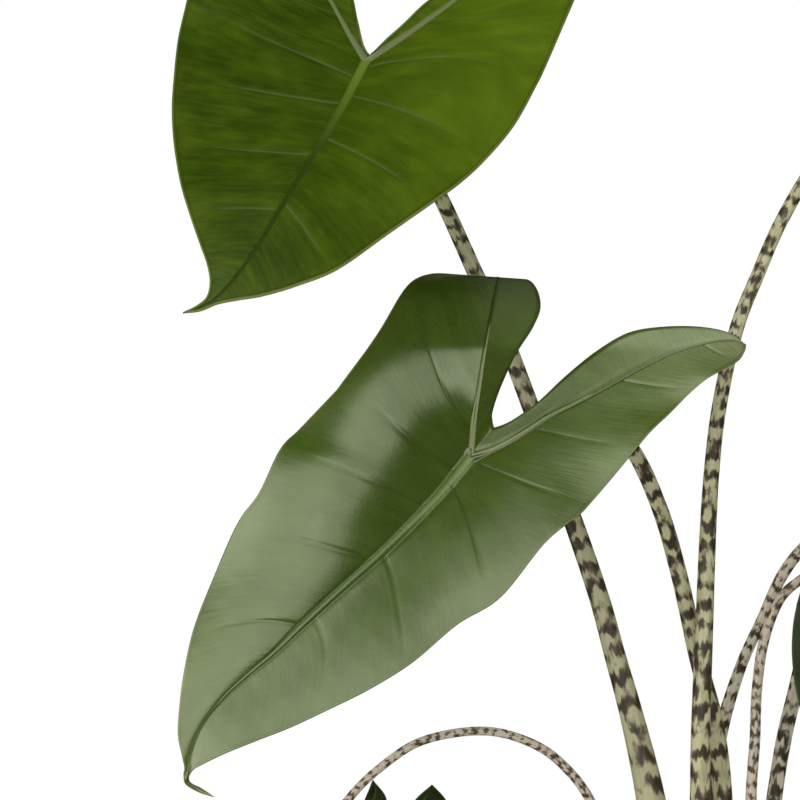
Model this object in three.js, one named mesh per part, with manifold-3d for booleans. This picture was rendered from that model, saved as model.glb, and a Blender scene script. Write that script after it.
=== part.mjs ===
// A zebrina alocasia in a plain nursery pot: seven leaves on banded stalks, one crown, soil.
// Millimetres, +Z up. The origin is the middle of the pot's underside, and the plant is
// seen from the front along +Y.
import * as THREE from "three";
import Module from "manifold-3d";

// Driving sizes.

const POT_HEIGHT = 150;
const RIM_RADIUS = 85;
const RIM_INSIDE = 81;
const RIM_BAND = 18;
const WALL_TOP_RADIUS = 81;
const FOOT_RADIUS = 62;
const POT_WALL = 2.2;
const POT_FLOOR = 3;
const DRAIN_HOLES = 6;
const DRAIN_RADIUS = 5;
const DRAIN_CIRCLE = 42;

const CLEAR = 0.3;
const SOIL_CROWN = 137;

const CROWN_RADIUS = 39;
const CROWN_TOP = 134.6;
const CROWN_BOTTOM = 92;

const BLADE_THICK = 0.9;
const RIB_DEPTH = 1.5;
const RIB_HALF_WIDTH = 2.2;
const STALK_SIDES = 10;
const STALK_STEP = 15;

// The eye that the plant is seen from: level, 3 m in front of the pot's axis.
const EYE = { x: -152.5, z: 435, far: 3000 };

const LEAF_GREEN = 0x46571c;
const LEAF_GREY = 0x5d6b3a;
const STALK_COLOUR = 0x8c8262;
const POT_COLOUR = 0x2c2d2e;
const SOIL_COLOUR = 0x2e231a;
const CROWN_COLOUR = 0x4a3626;

// Small helpers.

const vec = (x, y, z) => new THREE.Vector3(x, y, z);
const clamp = (x, a, b) => Math.min(b, Math.max(a, x));

// u mm to the right of the pot's axis and v mm above the table, as the eye sees them against
// the plane through the axis, and y mm behind that plane.
function seen(u, v, y) {
  const k = (EYE.far + y) / EYE.far;
  return vec(EYE.x + (u - EYE.x) * k, y, EYE.z + (v - EYE.z) * k);
}

// A smooth curve through rows of numbers, by row number.
function through(rows) {
  const last = rows.length - 1;
  const at = (i) => {
    if (i < 0) return rows[0].map((x, j) => 2 * x - rows[1][j]);
    if (i > last) return rows[last].map((x, j) => 2 * x - rows[last - 1][j]);
    return rows[i];
  };
  return (s) => {
    const i = clamp(Math.floor(s), 0, last - 1);
    const f = s - i;
    const p0 = at(i - 1);
    const p1 = at(i);
    const p2 = at(i + 1);
    const p3 = at(i + 2);
    return p1.map((_, j) => {
      const m1 = (p2[j] - p0[j]) / 2;
      const m2 = (p3[j] - p1[j]) / 2;
      const a = 2 * p1[j] - 2 * p2[j] + m1 + m2;
      const b = -3 * p1[j] + 3 * p2[j] - 2 * m1 - m2;
      return ((a * f + b) * f + m1) * f + p1[j];
    });
  };
}

// Leaf outlines. Each row is [rib, margin, margin] across the sheet, in mm. The midrib's
// rows run from the stalk's joint to the tip, with the left and the right margin. A lobe's
// rows run from the joint to its tip, with its outer and inner margin. Even rows are veins.

const UPPER_LEFT = {
  midrib: [
    [[-169.5, 604], [-259.5, 632.5], [-82, 596.5]],
    [[-174.5, 594.5], [-263.5, 615], [-95, 573]],
    [[-180, 584], [-265.5, 597], [-109, 556]],
    [[-187, 571.5], [-266.5, 581], [-122.5, 543.5]],
    [[-195.5, 557.5], [-265.5, 562.5], [-138.5, 532]],
    [[-203.5, 545], [-262.5, 544], [-158.5, 518]],
    [[-212, 531], [-258, 528.5], [-183.5, 500.5]],
    [[-221.5, 515], [-252.5, 512.5], [-204.5, 492]],
    [[-230.5, 501.5], [-249, 502.5], [-221.5, 487]],
    [[-238.5, 491.5], [-247.5, 494], [-233.5, 485]],
    [[-246, 484.5], [-249, 486.5], [-243.5, 483]],
    [[-253.5, 480.5], [-254, 482], [-252.5, 479.5]],
    [[-261, 478.5], [-261, 478.5], [-261, 478.5]],
  ],
  left: [
    [[-169.5, 604], [-259.5, 632.5], [-167.5, 607.5]],
    [[-173.5, 610], [-257, 644], [-170, 611]],
    [[-179, 619.5], [-254.5, 654], [-172, 617.5]],
    [[-185.5, 631.5], [-252, 662.5], [-174, 626.5]],
    [[-193, 643], [-249.5, 670], [-177, 639]],
    [[-202, 655], [-246.5, 676.5], [-184.5, 651.5]],
    [[-212, 667], [-243, 682], [-196.5, 664]],
    [[-223, 678.5], [-238.5, 686], [-213.5, 677]],
    [[-232.5, 689], [-232.5, 689], [-232.5, 689]],
  ],
  right: [
    [[-169.5, 604], [-82, 596.5], [-167.5, 607.5]],
    [[-158.5, 611], [-76, 610], [-160.5, 614.5]],
    [[-146.5, 619], [-70.5, 623], [-151.5, 622.5]],
    [[-132.5, 629], [-65, 636], [-140.5, 633]],
    [[-118.5, 639.5], [-60.5, 648.5], [-126.5, 643]],
    [[-104.5, 650], [-57, 658.5], [-111.5, 653.5]],
    [[-90.5, 660], [-54.5, 667], [-95.5, 663.5]],
    [[-76.5, 669], [-54, 674], [-79.5, 672]],
    [[-58.5, 679], [-58.5, 679], [-58.5, 679]],
  ],
};

const FRONT_LEFT = {
  midrib: [
    [[-117.5, 406], [-184, 440], [-62, 378]],
    [[-125, 397], [-202.5, 420.5], [-79.5, 364]],
    [[-134, 386.5], [-212.5, 410], [-102, 336.5]],
    [[-149, 371], [-223, 388.5], [-124, 322.5]],
    [[-165.5, 355], [-233.5, 373.5], [-146.5, 303.5]],
    [[-182.5, 340], [-245.5, 346.5], [-167.5, 290.5]],
    [[-201, 323], [-255.5, 321], [-187.5, 280.5]],
    [[-214.5, 310], [-260.5, 299], [-206.5, 271.5]],
    [[-227.5, 299], [-263, 280], [-224.5, 264.5]],
    [[-239.5, 288], [-263.5, 266.5], [-239.5, 258.5]],
    [[-250, 275.5], [-261.5, 257.5], [-250, 253.5]],
    [[-256, 262], [-260, 251], [-255.5, 250.5]],
    [[-259, 248], [-260.5, 247], [-257.5, 248]],
    [[-258.5, 243.5], [-259.5, 243], [-257.5, 244]],
    [[-252.5, 240], [-253, 239], [-252, 241]],
    [[-245.5, 236.5], [-245.5, 236.5], [-245.5, 236.5]],
  ],
  left: [
    [[-117.5, 406], [-184, 440], [-105.5, 421]],
    [[-116.5, 414.5], [-162.5, 470], [-106.5, 424.5]],
    [[-115.5, 426], [-147.5, 499], [-106.5, 429.5]],
    [[-113, 442.5], [-137.5, 512], [-102.5, 441.5]],
    [[-110, 462.5], [-128.5, 521.5], [-95, 457.5]],
    [[-107, 480.5], [-120.5, 531], [-85.5, 473]],
    [[-104.5, 500.5], [-113.5, 540], [-82.5, 487]],
    [[-103.5, 520], [-108, 547], [-88.5, 512]],
    [[-103.5, 553], [-103.5, 553], [-103.5, 553]],
  ],
  right: [
    [[-117.5, 406], [-62, 378], [-105.5, 421]],
    [[-105.5, 410], [-51, 390.5], [-101, 422.5]],
    [[-92.5, 417], [-38.5, 405.5], [-94.5, 426]],
    [[-77.5, 426.5], [-27.5, 419], [-83.5, 434]],
    [[-62.5, 434], [-17.5, 428.5], [-69.5, 447]],
    [[-46, 443], [-7.5, 438.5], [-54, 459.5]],
    [[-30.5, 451.5], [1.5, 446], [-38.5, 468.5]],
    [[-14.5, 459], [10.5, 451], [-21.5, 471.5]],
    [[1.5, 463.5], [17, 455], [-2.5, 471.5]],
    [[13.5, 464.5], [20, 459.5], [12, 468.5]],
    [[20.5, 462.5], [20.5, 462.5], [20.5, 462.5]],
  ],
};

const LOW_RIGHT = {
  midrib: [
    [[83.5, 339], [46, 333.5], [122.5, 335]],
    [[83, 327.5], [44, 321.5], [123, 321]],
    [[81.5, 312.5], [43.5, 307.5], [119.5, 304]],
    [[79.5, 295], [45.5, 290], [112.5, 285]],
    [[77.5, 277.5], [50.5, 272], [102.5, 266]],
    [[75, 260], [58.5, 255], [90.5, 249]],
    [[73, 244], [66.5, 241], [79.5, 237.5]],
    [[71.5, 227.5], [71.5, 227.5], [71.5, 227.5]],
  ],
  left: [
    [[83.5, 339], [46, 333.5], [84, 343]],
    [[78, 348.5], [49.5, 345], [82, 349]],
    [[72, 359.5], [53.5, 357], [77.5, 359]],
    [[66.5, 371], [58, 369], [72.5, 370]],
    [[62, 382.5], [62, 382.5], [62, 382.5]],
  ],
  right: [
    [[83.5, 339], [122.5, 335], [84, 343]],
    [[90, 348.5], [120, 347.5], [86.5, 349.5]],
    [[96.5, 359.5], [115.5, 359.5], [91.5, 359.5]],
    [[102, 370], [109, 371], [97.5, 370]],
    [[104.5, 381], [104.5, 381], [104.5, 381]],
  ],
};

const LOW_LEFT = {
  midrib: [
    [[-193.5, 199], [-208.5, 196], [-153.5, 185]],
    [[-199.5, 188.5], [-216.5, 185], [-166.5, 172.5]],
    [[-206, 176], [-223.5, 172], [-181.5, 160]],
    [[-213, 163], [-228, 158.5], [-197.5, 149]],
    [[-219.5, 150], [-230, 145], [-212, 141]],
    [[-224.5, 139], [-230, 135], [-223, 134]],
    [[-228.5, 126], [-228.5, 126], [-228.5, 126]],
  ],
  left: [
    [[-193.5, 199], [-208.5, 196], [-185.5, 204]],
    [[-184.5, 210], [-195.5, 209], [-177.5, 210]],
    [[-175, 221], [-183.5, 219], [-167.5, 218]],
    [[-167.5, 232], [-173, 229.5], [-160.5, 229]],
    [[-164.5, 239], [-168.5, 238.5], [-159.5, 236.5]],
    [[-166, 245], [-166, 245], [-166, 245]],
  ],
  right: [
    [[-193.5, 199], [-153.5, 185], [-185.5, 204]],
    [[-178.5, 207], [-142.5, 197], [-176.5, 209.5]],
    [[-163.5, 216], [-133.5, 209], [-163.5, 218.5]],
    [[-150, 226], [-128.5, 222], [-151.5, 227.5]],
    [[-140.5, 234.5], [-129, 233.5], [-143.5, 236.5]],
    [[-136.5, 242.5], [-136.5, 242.5], [-136.5, 242.5]],
  ],
};

// A whole leaf laid flat, joint at 0,0 and tip down, for the leaves that hang outwards.
const HANGING = {
  midrib: [
    [[0, 0], [-92, 12], [92, 12]],
    [[0, -15], [-92, -9], [92, -9]],
    [[1, -33], [-88, -32], [88, -33]],
    [[2, -54], [-81, -58], [82, -60]],
    [[3, -77], [-71, -84], [73, -87]],
    [[4, -101], [-58, -110], [61, -113]],
    [[5, -125], [-43, -134], [48, -137]],
    [[5, -148], [-29, -156], [35, -159]],
    [[5, -169], [-17, -176], [24, -178]],
    [[5, -188], [-7, -193], [14, -195]],
    [[6, -204], [2, -206], [9, -207]],
    [[9, -222], [9, -222], [9, -222]],
  ],
  left: [
    [[0, 0], [-92, 12], [0, 8]],
    [[-9, 14], [-91, 30], [-4, 15]],
    [[-20, 31], [-89, 48], [-11, 29]],
    [[-31, 50], [-86, 65], [-20, 47]],
    [[-41, 69], [-82, 81], [-31, 66]],
    [[-50, 87], [-77, 95], [-42, 85]],
    [[-57, 102], [-71, 107], [-52, 101]],
    [[-63, 118], [-63, 118], [-63, 118]],
  ],
  right: [
    [[0, 0], [92, 12], [0, 8]],
    [[10, 14], [93, 30], [4, 15]],
    [[22, 31], [92, 48], [12, 29]],
    [[34, 50], [90, 66], [22, 47]],
    [[45, 70], [87, 83], [33, 67]],
    [[54, 89], [82, 98], [45, 87]],
    [[61, 105], [75, 110], [56, 104]],
    [[68, 122], [68, 122], [68, 122]],
  ],
};

// Leaf forms.
// lean: where the sheet lies in depth, how fast it goes back upwards and to the right.
// fold: the height above which a lobe rolls backwards, and the radius that it rolls on.
// cup: how far the left and the right margin come forward of the midrib. set: how soon a
// half levels out again. open: how much of the cup is gone at the tip.
// camber: how far the left and the right half bulge, and flat: how much less on the lobes.
// rise: how far each lobe's rib comes forward, and curl: how steeply its inner strip does.
// arch and droop: how the midrib bows forward, and falls back at its tip.

const EVEN = { set: 0, open: 0, flat: 0, rise: [0, 0], curl: 0.2 };
const HANGS = { ...EVEN, camber: [8, 8], arch: 0, droop: 0, lobeDroop: 6, wave: 2.4, waves: 4 };
const SMALL = { ...EVEN, camber: [4, 4], arch: 3, droop: 5, wave: 1.1, waves: 3 };

const LEAVES = [
  {
    name: "upper_left",
    sheet: UPPER_LEFT,
    columns: 5,
    lean: { u: -169.5, v: 604, y: -62, up: 1.29, across: -0.14 },
    form: {
      ...EVEN,
      cup: [16, 16],
      camber: [9, 9],
      curl: 0.6,
      arch: 7,
      droop: 10,
      lobeDroop: 14,
      wave: 2.6,
      waves: 4,
    },
    colour: LEAF_GREEN,
  },
  {
    name: "front_left",
    sheet: FRONT_LEFT,
    columns: 7,
    lean: { u: -117.5, v: 406, y: -88, up: 0.44, across: 0.11 },
    fold: { v: 461, tilt: -0.07, from: -132, radius: 37, right: -70 },
    form: {
      ...EVEN,
      cup: [29, 12],
      set: 1.6,
      open: 0.75,
      camber: [5, 3],
      flat: 1,
      rise: [10, 0],
      curl: 0.1,
      arch: 3,
      droop: 8,
      lobeDroop: 5,
      wave: 2,
      waves: 4,
    },
    colour: LEAF_GREY,
  },
  {
    name: "low_right",
    sheet: LOW_RIGHT,
    columns: 4,
    lean: { u: 83.5, v: 339, y: -44, up: 0.15, across: -0.1 },
    form: { ...SMALL, cup: [9, 9], lobeDroop: 2 },
    colour: LEAF_GREEN,
  },
  {
    name: "low_left",
    sheet: LOW_LEFT,
    columns: 4,
    lean: { u: -193.5, v: 199, y: -74, up: 0.5, across: 0.1 },
    form: { ...SMALL, cup: [7, 7], lobeDroop: 3 },
    colour: LEAF_GREEN,
  },
  {
    name: "top_right",
    sheet: HANGING,
    columns: 4,
    hang: { at: [138, 3, 606], heading: 7, dip: 77, size: 0.9, bend: 330 },
    form: { ...HANGS, cup: [15, 15] },
    colour: LEAF_GREEN,
  },
  {
    name: "mid_right",
    sheet: HANGING,
    columns: 4,
    hang: { at: [156, -106, 368], heading: -40, dip: 60, size: 0.88, bend: 300 },
    form: { ...HANGS, cup: [14, 14] },
    colour: LEAF_GREEN,
  },
  {
    name: "back_right",
    sheet: HANGING,
    columns: 4,
    hang: { at: [152, 188, 430], heading: 30, dip: 66, size: 0.96, bend: 340 },
    form: { ...HANGS, cup: [14, 14] },
    colour: LEAF_GREEN,
  },
];

// Where a point of the sheet lies, with e mm of bulge towards its upper side.
function placer(leaf) {
  if (leaf.hang) {
    const h = leaf.hang;
    const a = (h.heading * Math.PI) / 180;
    const d = (h.dip * Math.PI) / 180;
    const m = vec(Math.cos(a) * Math.cos(d), Math.sin(a) * Math.cos(d), -Math.sin(d));
    const n = vec(Math.cos(a) * Math.sin(d), Math.sin(a) * Math.sin(d), Math.cos(d));
    const w = vec().crossVectors(m, n).negate();
    return (u, v, e) => {
      const turn = (-v * h.size) / h.bend;
      const along = (h.bend + e) * Math.sin(turn);
      const off = (h.bend + e) * Math.cos(turn) - h.bend;
      return vec(...h.at).addScaledVector(w, u * h.size).addScaledVector(m, along).addScaledVector(n, off);
    };
  }
  const { lean, fold } = leaf;
  return (u, v, e) => {
    const depth = (at) => lean.y + lean.up * (at - lean.v) + lean.across * (u - lean.u);
    const crease = fold ? fold.v + fold.tilt * (u - fold.from) : Infinity;
    if (v < crease || u > fold.right) return seen(u, v, depth(v) - e);
    const turn = (v - crease) / fold.radius;
    const rise = fold.radius * Math.sin(turn);
    const back = fold.radius * (1 - Math.cos(turn)) + lean.up * rise * Math.cos(turn / 2) ** 2;
    return seen(u, crease + rise, depth(crease) + back - e);
  };
}

// 0 below a, 1 above b, and smooth between.
function ease(a, b, x) {
  const f = clamp((x - a) / (b - a), 0, 1);
  return f * f * (3 - 2 * f);
}

// The line of the midrib, which the two halves of the leaf rise from like an open book.
function leafFrame(leaf) {
  const rows = leaf.sheet.midrib;
  const { cup, set, open } = leaf.form;
  const [joint, left, right] = rows[0];
  const tip = rows[rows.length - 1][0];
  const widest = Math.hypot(right[0] - left[0], right[1] - left[1]) / 2;
  const long = Math.hypot(tip[0] - joint[0], tip[1] - joint[1]);
  const way = [(tip[0] - joint[0]) / long, (tip[1] - joint[1]) / long];
  const round = 0.15 * widest;
  const top = leaf.fold ? leaf.fold.v : Infinity;
  const cupAt = (u, v) => {
    const [x, y] = [u - joint[0], Math.min(v, top) - joint[1]];
    const d = x * way[1] - y * way[0];
    const along = (x * way[0] + y * way[1]) / long;
    const deep = cup[1] + (cup[0] - cup[1]) * ease(-round, round, d);
    const share = (Math.hypot(d, round) - round) / (Math.hypot(widest, round) - round);
    const risen = set ? Math.tanh(set * share) / Math.tanh(set) : share;
    return deep * (1 - open * ease(0, 0.8, along)) * risen;
  };
  return { widest, cupAt, rows: rows.length - 1 };
}

// One side of a rib: a grid from the rib (t 0) to the margin (t 1), rows by row number.
// half is 1 for the left half of the leaf and 2 for the right.
function side(rows, form, edge, lobe, half, frame) {
  const { widest, cupAt } = frame;
  const rib = through(rows.map((r) => r[0]));
  const margin = through(rows.map((r) => r[edge]));
  const last = rows.length - 1;
  const inner = lobe && edge === 2;
  return (s, column, columns) => {
    const a = rib(s);
    const b = margin(s);
    const q = s / last;
    const wide = Math.hypot(b[0] - a[0], b[1] - a[1]);
    const first = clamp(RIB_HALF_WIDTH / Math.max(wide, 1e-6), 0.05, 0.5);
    const t = column === 0 ? 0 : first + ((1 - first) * (column - 1)) / (columns - 1);
    const share = Math.min(1, wide / widest);
    const risen = form.rise[half - 1] * ease(0, 0.35, q) * ease(1, 0.7, q) * (1 - t);
    const ribE = lobe
      ? risen - form.lobeDroop * q * q
      : form.arch * Math.sin(Math.PI * q) ** 2 - form.droop * q * q;
    const hump = 4 * t * (1 - t) * share;
    const vein = -Math.cos(Math.PI * s) * hump;
    const turns = (form.waves * 2 * s * (lobe ? -1 : 1)) / frame.rows + half;
    const ripple = inner ? 0 : form.wave * share * t * t * Math.sin(Math.PI * turns);
    const strip = inner ? form.curl * wide * t * Math.min(1, 3 * q) : 0;
    const bow = inner ? 0 : 0.035 * 4 * t * (1 - t);
    const c = rib(Math.max(0, s - 0.5));
    const d = rib(Math.min(last, s + 0.5));
    const step = Math.hypot(d[0] - c[0], d[1] - c[1]) || 1;
    const back = (-bow * wide * Math.min(1, q * 3)) / step;
    const u = a[0] + (b[0] - a[0]) * t + (d[0] - c[0]) * back;
    const v = a[1] + (b[1] - a[1]) * t + (d[1] - c[1]) * back;
    const camber = form.camber[half - 1] * (lobe ? 1 - form.flat * ease(0, 0.35, q) : 1);
    const bulge = inner ? 0 : camber * hump;
    const e = ribE + cupAt(u, v) + bulge + 0.35 * vein + ripple + strip;
    return { u, v, e, ridge: column === 0 ? RIB_DEPTH * (1 - 0.8 * q) : 0 };
  };
}

// Points joined where they coincide, so that the sides of a leaf become one sheet.
class Sheet {
  constructor() {
    this.points = [];
    this.ridges = [];
    this.faces = [];
    this.seenAt = new Map();
  }
  point(p, ridge) {
    const key = [p.x, p.y, p.z].map((x) => Math.round(x * 2000)).join();
    if (!this.seenAt.has(key)) {
      this.seenAt.set(key, this.points.length);
      this.points.push(p);
      this.ridges.push(ridge);
    }
    const i = this.seenAt.get(key);
    this.ridges[i] = Math.max(this.ridges[i], ridge);
    return i;
  }
  face(a, b, c) {
    if (a !== b && b !== c && c !== a) this.faces.push([a, b, c]);
  }
  // A closed shell: the upper face, the underside with its raised ribs, and the rim between.
  shell(thick) {
    const normals = this.points.map(() => vec(0, 0, 0));
    for (const [a, b, c] of this.faces) {
      const n = vec()
        .subVectors(this.points[b], this.points[a])
        .cross(vec().subVectors(this.points[c], this.points[a]));
      for (const i of [a, b, c]) normals[i].add(n);
    }
    normals.forEach((n) => n.normalize());
    const count = this.points.length;
    const all = [];
    this.points.forEach((p, i) => all.push(p.clone().addScaledVector(normals[i], thick / 2)));
    this.points.forEach((p, i) =>
      all.push(p.clone().addScaledVector(normals[i], -thick / 2 - this.ridges[i])),
    );
    const edges = new Set();
    for (const [a, b, c] of this.faces) {
      for (const [i, j] of [[a, b], [b, c], [c, a]]) edges.add(i + "," + j);
    }
    const out = [];
    for (const [a, b, c] of this.faces) {
      out.push(a, b, c, a + count, c + count, b + count);
      for (const [i, j] of [[a, b], [b, c], [c, a]]) {
        if (!edges.has(j + "," + i)) out.push(i, i + count, j, j, i + count, j + count);
      }
    }
    const geometry = new THREE.BufferGeometry();
    const flat = all.flatMap((p) => [p.x, p.y, p.z]);
    geometry.setAttribute("position", new THREE.Float32BufferAttribute(flat, 3));
    geometry.setIndex(out);
    geometry.computeVertexNormals();
    return geometry;
  }
}

// Blades: six patches to a leaf, two beside the midrib and two beside each lobe's rib.

const INNER_COLUMNS = 2;
const ROWS_EACH = 2;

function bladeSheet(leaf) {
  const sheet = new Sheet();
  const place = placer(leaf);
  const frame = leafFrame(leaf);
  const parts = [
    [leaf.sheet.midrib, 1, false, 1, leaf.columns, true],
    [leaf.sheet.midrib, 2, false, 2, leaf.columns, false],
    [leaf.sheet.left, 1, true, 1, leaf.columns, false],
    [leaf.sheet.right, 1, true, 2, leaf.columns, true],
    [leaf.sheet.left, 2, true, 1, INNER_COLUMNS, true],
    [leaf.sheet.right, 2, true, 2, INNER_COLUMNS, false],
  ];
  for (const [rows, edge, lobe, half, columns, turned] of parts) {
    const grid = side(rows, leaf.form, edge, lobe, half, frame);
    const steps = (rows.length - 1) * ROWS_EACH;
    const index = [];
    for (let i = 0; i <= steps; i++) {
      const row = [];
      for (let j = 0; j <= columns; j++) {
        const p = grid(i / ROWS_EACH, j, columns);
        row.push(sheet.point(place(p.u, p.v, p.e), p.ridge));
      }
      index.push(row);
    }
    for (let i = 0; i < steps; i++) {
      for (let j = 0; j < columns; j++) {
        const a = index[i][j];
        const b = index[i + 1][j];
        const c = index[i + 1][j + 1];
        const d = index[i][j + 1];
        if (turned) {
          sheet.face(a, c, b);
          sheet.face(a, d, c);
        } else {
          sheet.face(a, b, c);
          sheet.face(a, c, d);
        }
      }
    }
  }
  return sheet;
}

// The middle of the underside at the stalk's joint, and the way its upper side faces.
function joint(leaf) {
  const place = placer(leaf);
  const [u, v] = leaf.sheet.midrib[0][0];
  const o = place(u, v, 0);
  const right = place(u + 3, v, 0).sub(place(u - 3, v, 0));
  const up = place(u, v + 3, 0).sub(place(u, v - 3, 0));
  const n = right.cross(up).normalize();
  const drop = BLADE_THICK / 2 + RIB_DEPTH + CLEAR + 0.15;
  return { at: o.clone().addScaledVector(n, -drop), n };
}

// Stalks. Each row is [u, v, y, radius], from the crown up, as the eye sees it.

const STALKS = {
  upper_left: [
    [-13, CROWN_TOP + CLEAR, -12, 10.4],
    [-20, 185, -12, 8.6],
    [-27, 235, -11, 7.3],
    [-36.5, 277, -8, 5.9],
    [-45, 307.5, -5, 5.3],
    [-53, 336.5, -2, 5],
    [-66, 374.5, 4, 4.8],
    [-87.5, 432.5, 13, 4.4],
    [-102.5, 472.5, 18, 4.2],
    [-115, 499, 17, 4],
    [-132, 536, 2, 3.8],
    [-150.5, 570, -26, 3.7],
  ],
  front_left: [
    [9.5, CROWN_TOP + CLEAR, -1, 7.2],
    [9.5, 185, -3, 6],
    [8.5, 240, -5, 5],
    [4.5, 274, -6, 4.7],
    [-3.8, 307, -7, 4.3],
    [-12.3, 345, -10, 4.1],
    [-21.7, 378, -16, 4],
    [-35, 408, -25, 3.9],
    [-50, 424, -36, 3.9],
    [-67, 428, -47, 3.8],
    [-86, 421, -57, 3.7],
    [-103, 411.5, -68, 3.6],
  ],
  top_right: [
    [-1, CROWN_TOP + CLEAR, -28, 7],
    [-2.5, 185, -27, 6],
    [-2.5, 235, -25, 5.1],
    [-2, 274, -23.5, 4.8],
    [-0.5, 315, -22, 4.5],
    [1, 358, -20, 4.2],
    [3, 396, -18, 3.9],
    [7, 431, -15, 3.7],
    [15.5, 469.5, -12, 3.6],
    [26, 496.5, -9, 3.4],
    [39, 526, -6, 3.3],
    [57.5, 556, -4, 3.2],
    [82, 582, -1, 3.2],
    [112, 599, 1, 3.2],
  ],
  mid_right: [
    [-3, CROWN_TOP + CLEAR, 17, 6],
    [-1, 185, 15, 5],
    [3, 235, 13, 4],
    [7.5, 267, 11, 3.6],
    [17.5, 300.5, 9, 2.9],
    [28.5, 325, 7, 2.8],
    [40, 349.5, 4, 2.9],
    [56, 367, -5, 2.8],
    [81, 379, -28, 2.8],
    [113, 379, -63, 2.8],
  ],
  low_right: [
    [22, CROWN_TOP + CLEAR, -18, 4.4],
    [22.5, 185, -19, 3.4],
    [23, 235, -19, 2.8],
    [25, 265.5, -18, 2.7],
    [26, 290.5, -17, 2.6],
    [29.5, 314.5, -16, 2.6],
    [37, 334.5, -15, 2.5],
    [47, 344.5, -14, 2.4],
    [60, 351, -16, 2.3],
    [74, 349, -23, 2.3],
  ],
  back_right: [
    [21, CROWN_TOP + CLEAR, 10, 6.2],
    [28, 185, 13, 5],
    [34.5, 235, 16, 4],
    [39.5, 265.5, 19, 3.9],
    [45.5, 290.5, 23, 3.8],
    [53.5, 325, 36, 3.7],
    [66, 365, 64, 3.5],
    [82, 396, 102, 3.4],
    [101, 413, 142, 3.3],
  ],
  low_left: [
    [-30.5, CROWN_TOP + CLEAR, 1, 4.4],
    [-40, 185, -6, 3.2],
    [-55.5, 231, -14, 2.5],
    [-72, 253.5, -21, 2.3],
    [-90.5, 265, -28, 2.2],
    [-113, 269.5, -36, 2.2],
    [-141.5, 264.5, -45, 2.1],
    [-162, 251.5, -50, 2.1],
    [-177, 237, -54, 2.1],
    [-188, 220, -57, 2.1],
  ],
};

function stalk(rows, end) {
  const points = rows.map(([u, v, y]) => seen(u, v, y));
  points[0].z = CROWN_TOP + CLEAR;
  points.push(end.at);
  const radii = rows.map((r) => [r[3]]);
  radii.push([rows[rows.length - 1][3] * 1.04]);
  const radiusAt = through(radii);
  const curve = new THREE.CatmullRomCurve3(points, false, "catmullrom", 0.5);
  const steps = Math.round(curve.getLength() / STALK_STEP);
  const sides = rows[0][3] > 6.5 ? STALK_SIDES : STALK_SIDES - 2;
  const last = points.length - 1;
  const vertices = [];
  const index = [];
  let across = vec(1, 0, 0);
  for (let i = 0; i <= steps; i++) {
    const t = curve.getUtoTmapping(i / steps);
    const at = curve.getPoint(t);
    const way = curve.getTangent(t);
    if (i === 0) way.set(0, 0, 1);
    across.addScaledVector(way, -across.dot(way)).normalize();
    const other = vec().crossVectors(way, across);
    const radius = radiusAt(t * last)[0];
    for (let j = 0; j < sides; j++) {
      const a = (2 * Math.PI * j) / sides;
      const p = at
        .clone()
        .addScaledVector(across, radius * Math.cos(a))
        .addScaledVector(other, radius * Math.sin(a));
      if (i === steps) {
        const off = p.clone().sub(end.at).dot(end.n);
        p.addScaledVector(way, -off / way.dot(end.n));
      }
      vertices.push(p);
    }
  }
  const foot = vertices.push(curve.getPoint(0)) - 1;
  const head = vertices.push(end.at.clone()) - 1;
  for (let i = 0; i < steps; i++) {
    for (let j = 0; j < sides; j++) {
      const a = i * sides + j;
      const b = i * sides + ((j + 1) % sides);
      index.push(a, b, b + sides, a, b + sides, a + sides);
    }
  }
  for (let j = 0; j < sides; j++) {
    const k = (j + 1) % sides;
    index.push(foot, k, j, head, steps * sides + j, steps * sides + k);
  }
  const geometry = new THREE.BufferGeometry();
  const flat = vertices.flatMap((p) => [p.x, p.y, p.z]);
  geometry.setAttribute("position", new THREE.Float32BufferAttribute(flat, 3));
  geometry.setIndex(index);
  geometry.computeVertexNormals();
  return geometry;
}

// Pot, soil and crown.

// A turned solid: an outline of [radius, height] from the axis round to the axis.
function turned(outline, sides) {
  const geometry = new THREE.LatheGeometry(
    outline.map(([r, z]) => new THREE.Vector2(Math.max(r, 0), z)),
    sides,
  );
  return geometry.rotateX(Math.PI / 2);
}

const wallRadius = (z) => FOOT_RADIUS + ((WALL_TOP_RADIUS - FOOT_RADIUS) * z) / (POT_HEIGHT - RIM_BAND);

function potSolid() {
  const neck = POT_HEIGHT - RIM_BAND;
  const inside = wallRadius(neck) - POT_WALL;
  return turned(
    [
      [0, 0],
      [FOOT_RADIUS - 1.5, 0],
      [FOOT_RADIUS, 1.5],
      [wallRadius(neck), neck],
      [RIM_RADIUS - 1, neck],
      [RIM_RADIUS - 1, POT_HEIGHT - 3],
      [RIM_RADIUS, POT_HEIGHT - 2],
      [RIM_RADIUS, POT_HEIGHT - 0.7],
      [RIM_RADIUS - 0.7, POT_HEIGHT],
      [RIM_INSIDE, POT_HEIGHT],
      [inside, neck + 1],
      [wallRadius(POT_FLOOR) - POT_WALL, POT_FLOOR],
      [0, POT_FLOOR],
    ],
    48,
  );
}

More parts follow.
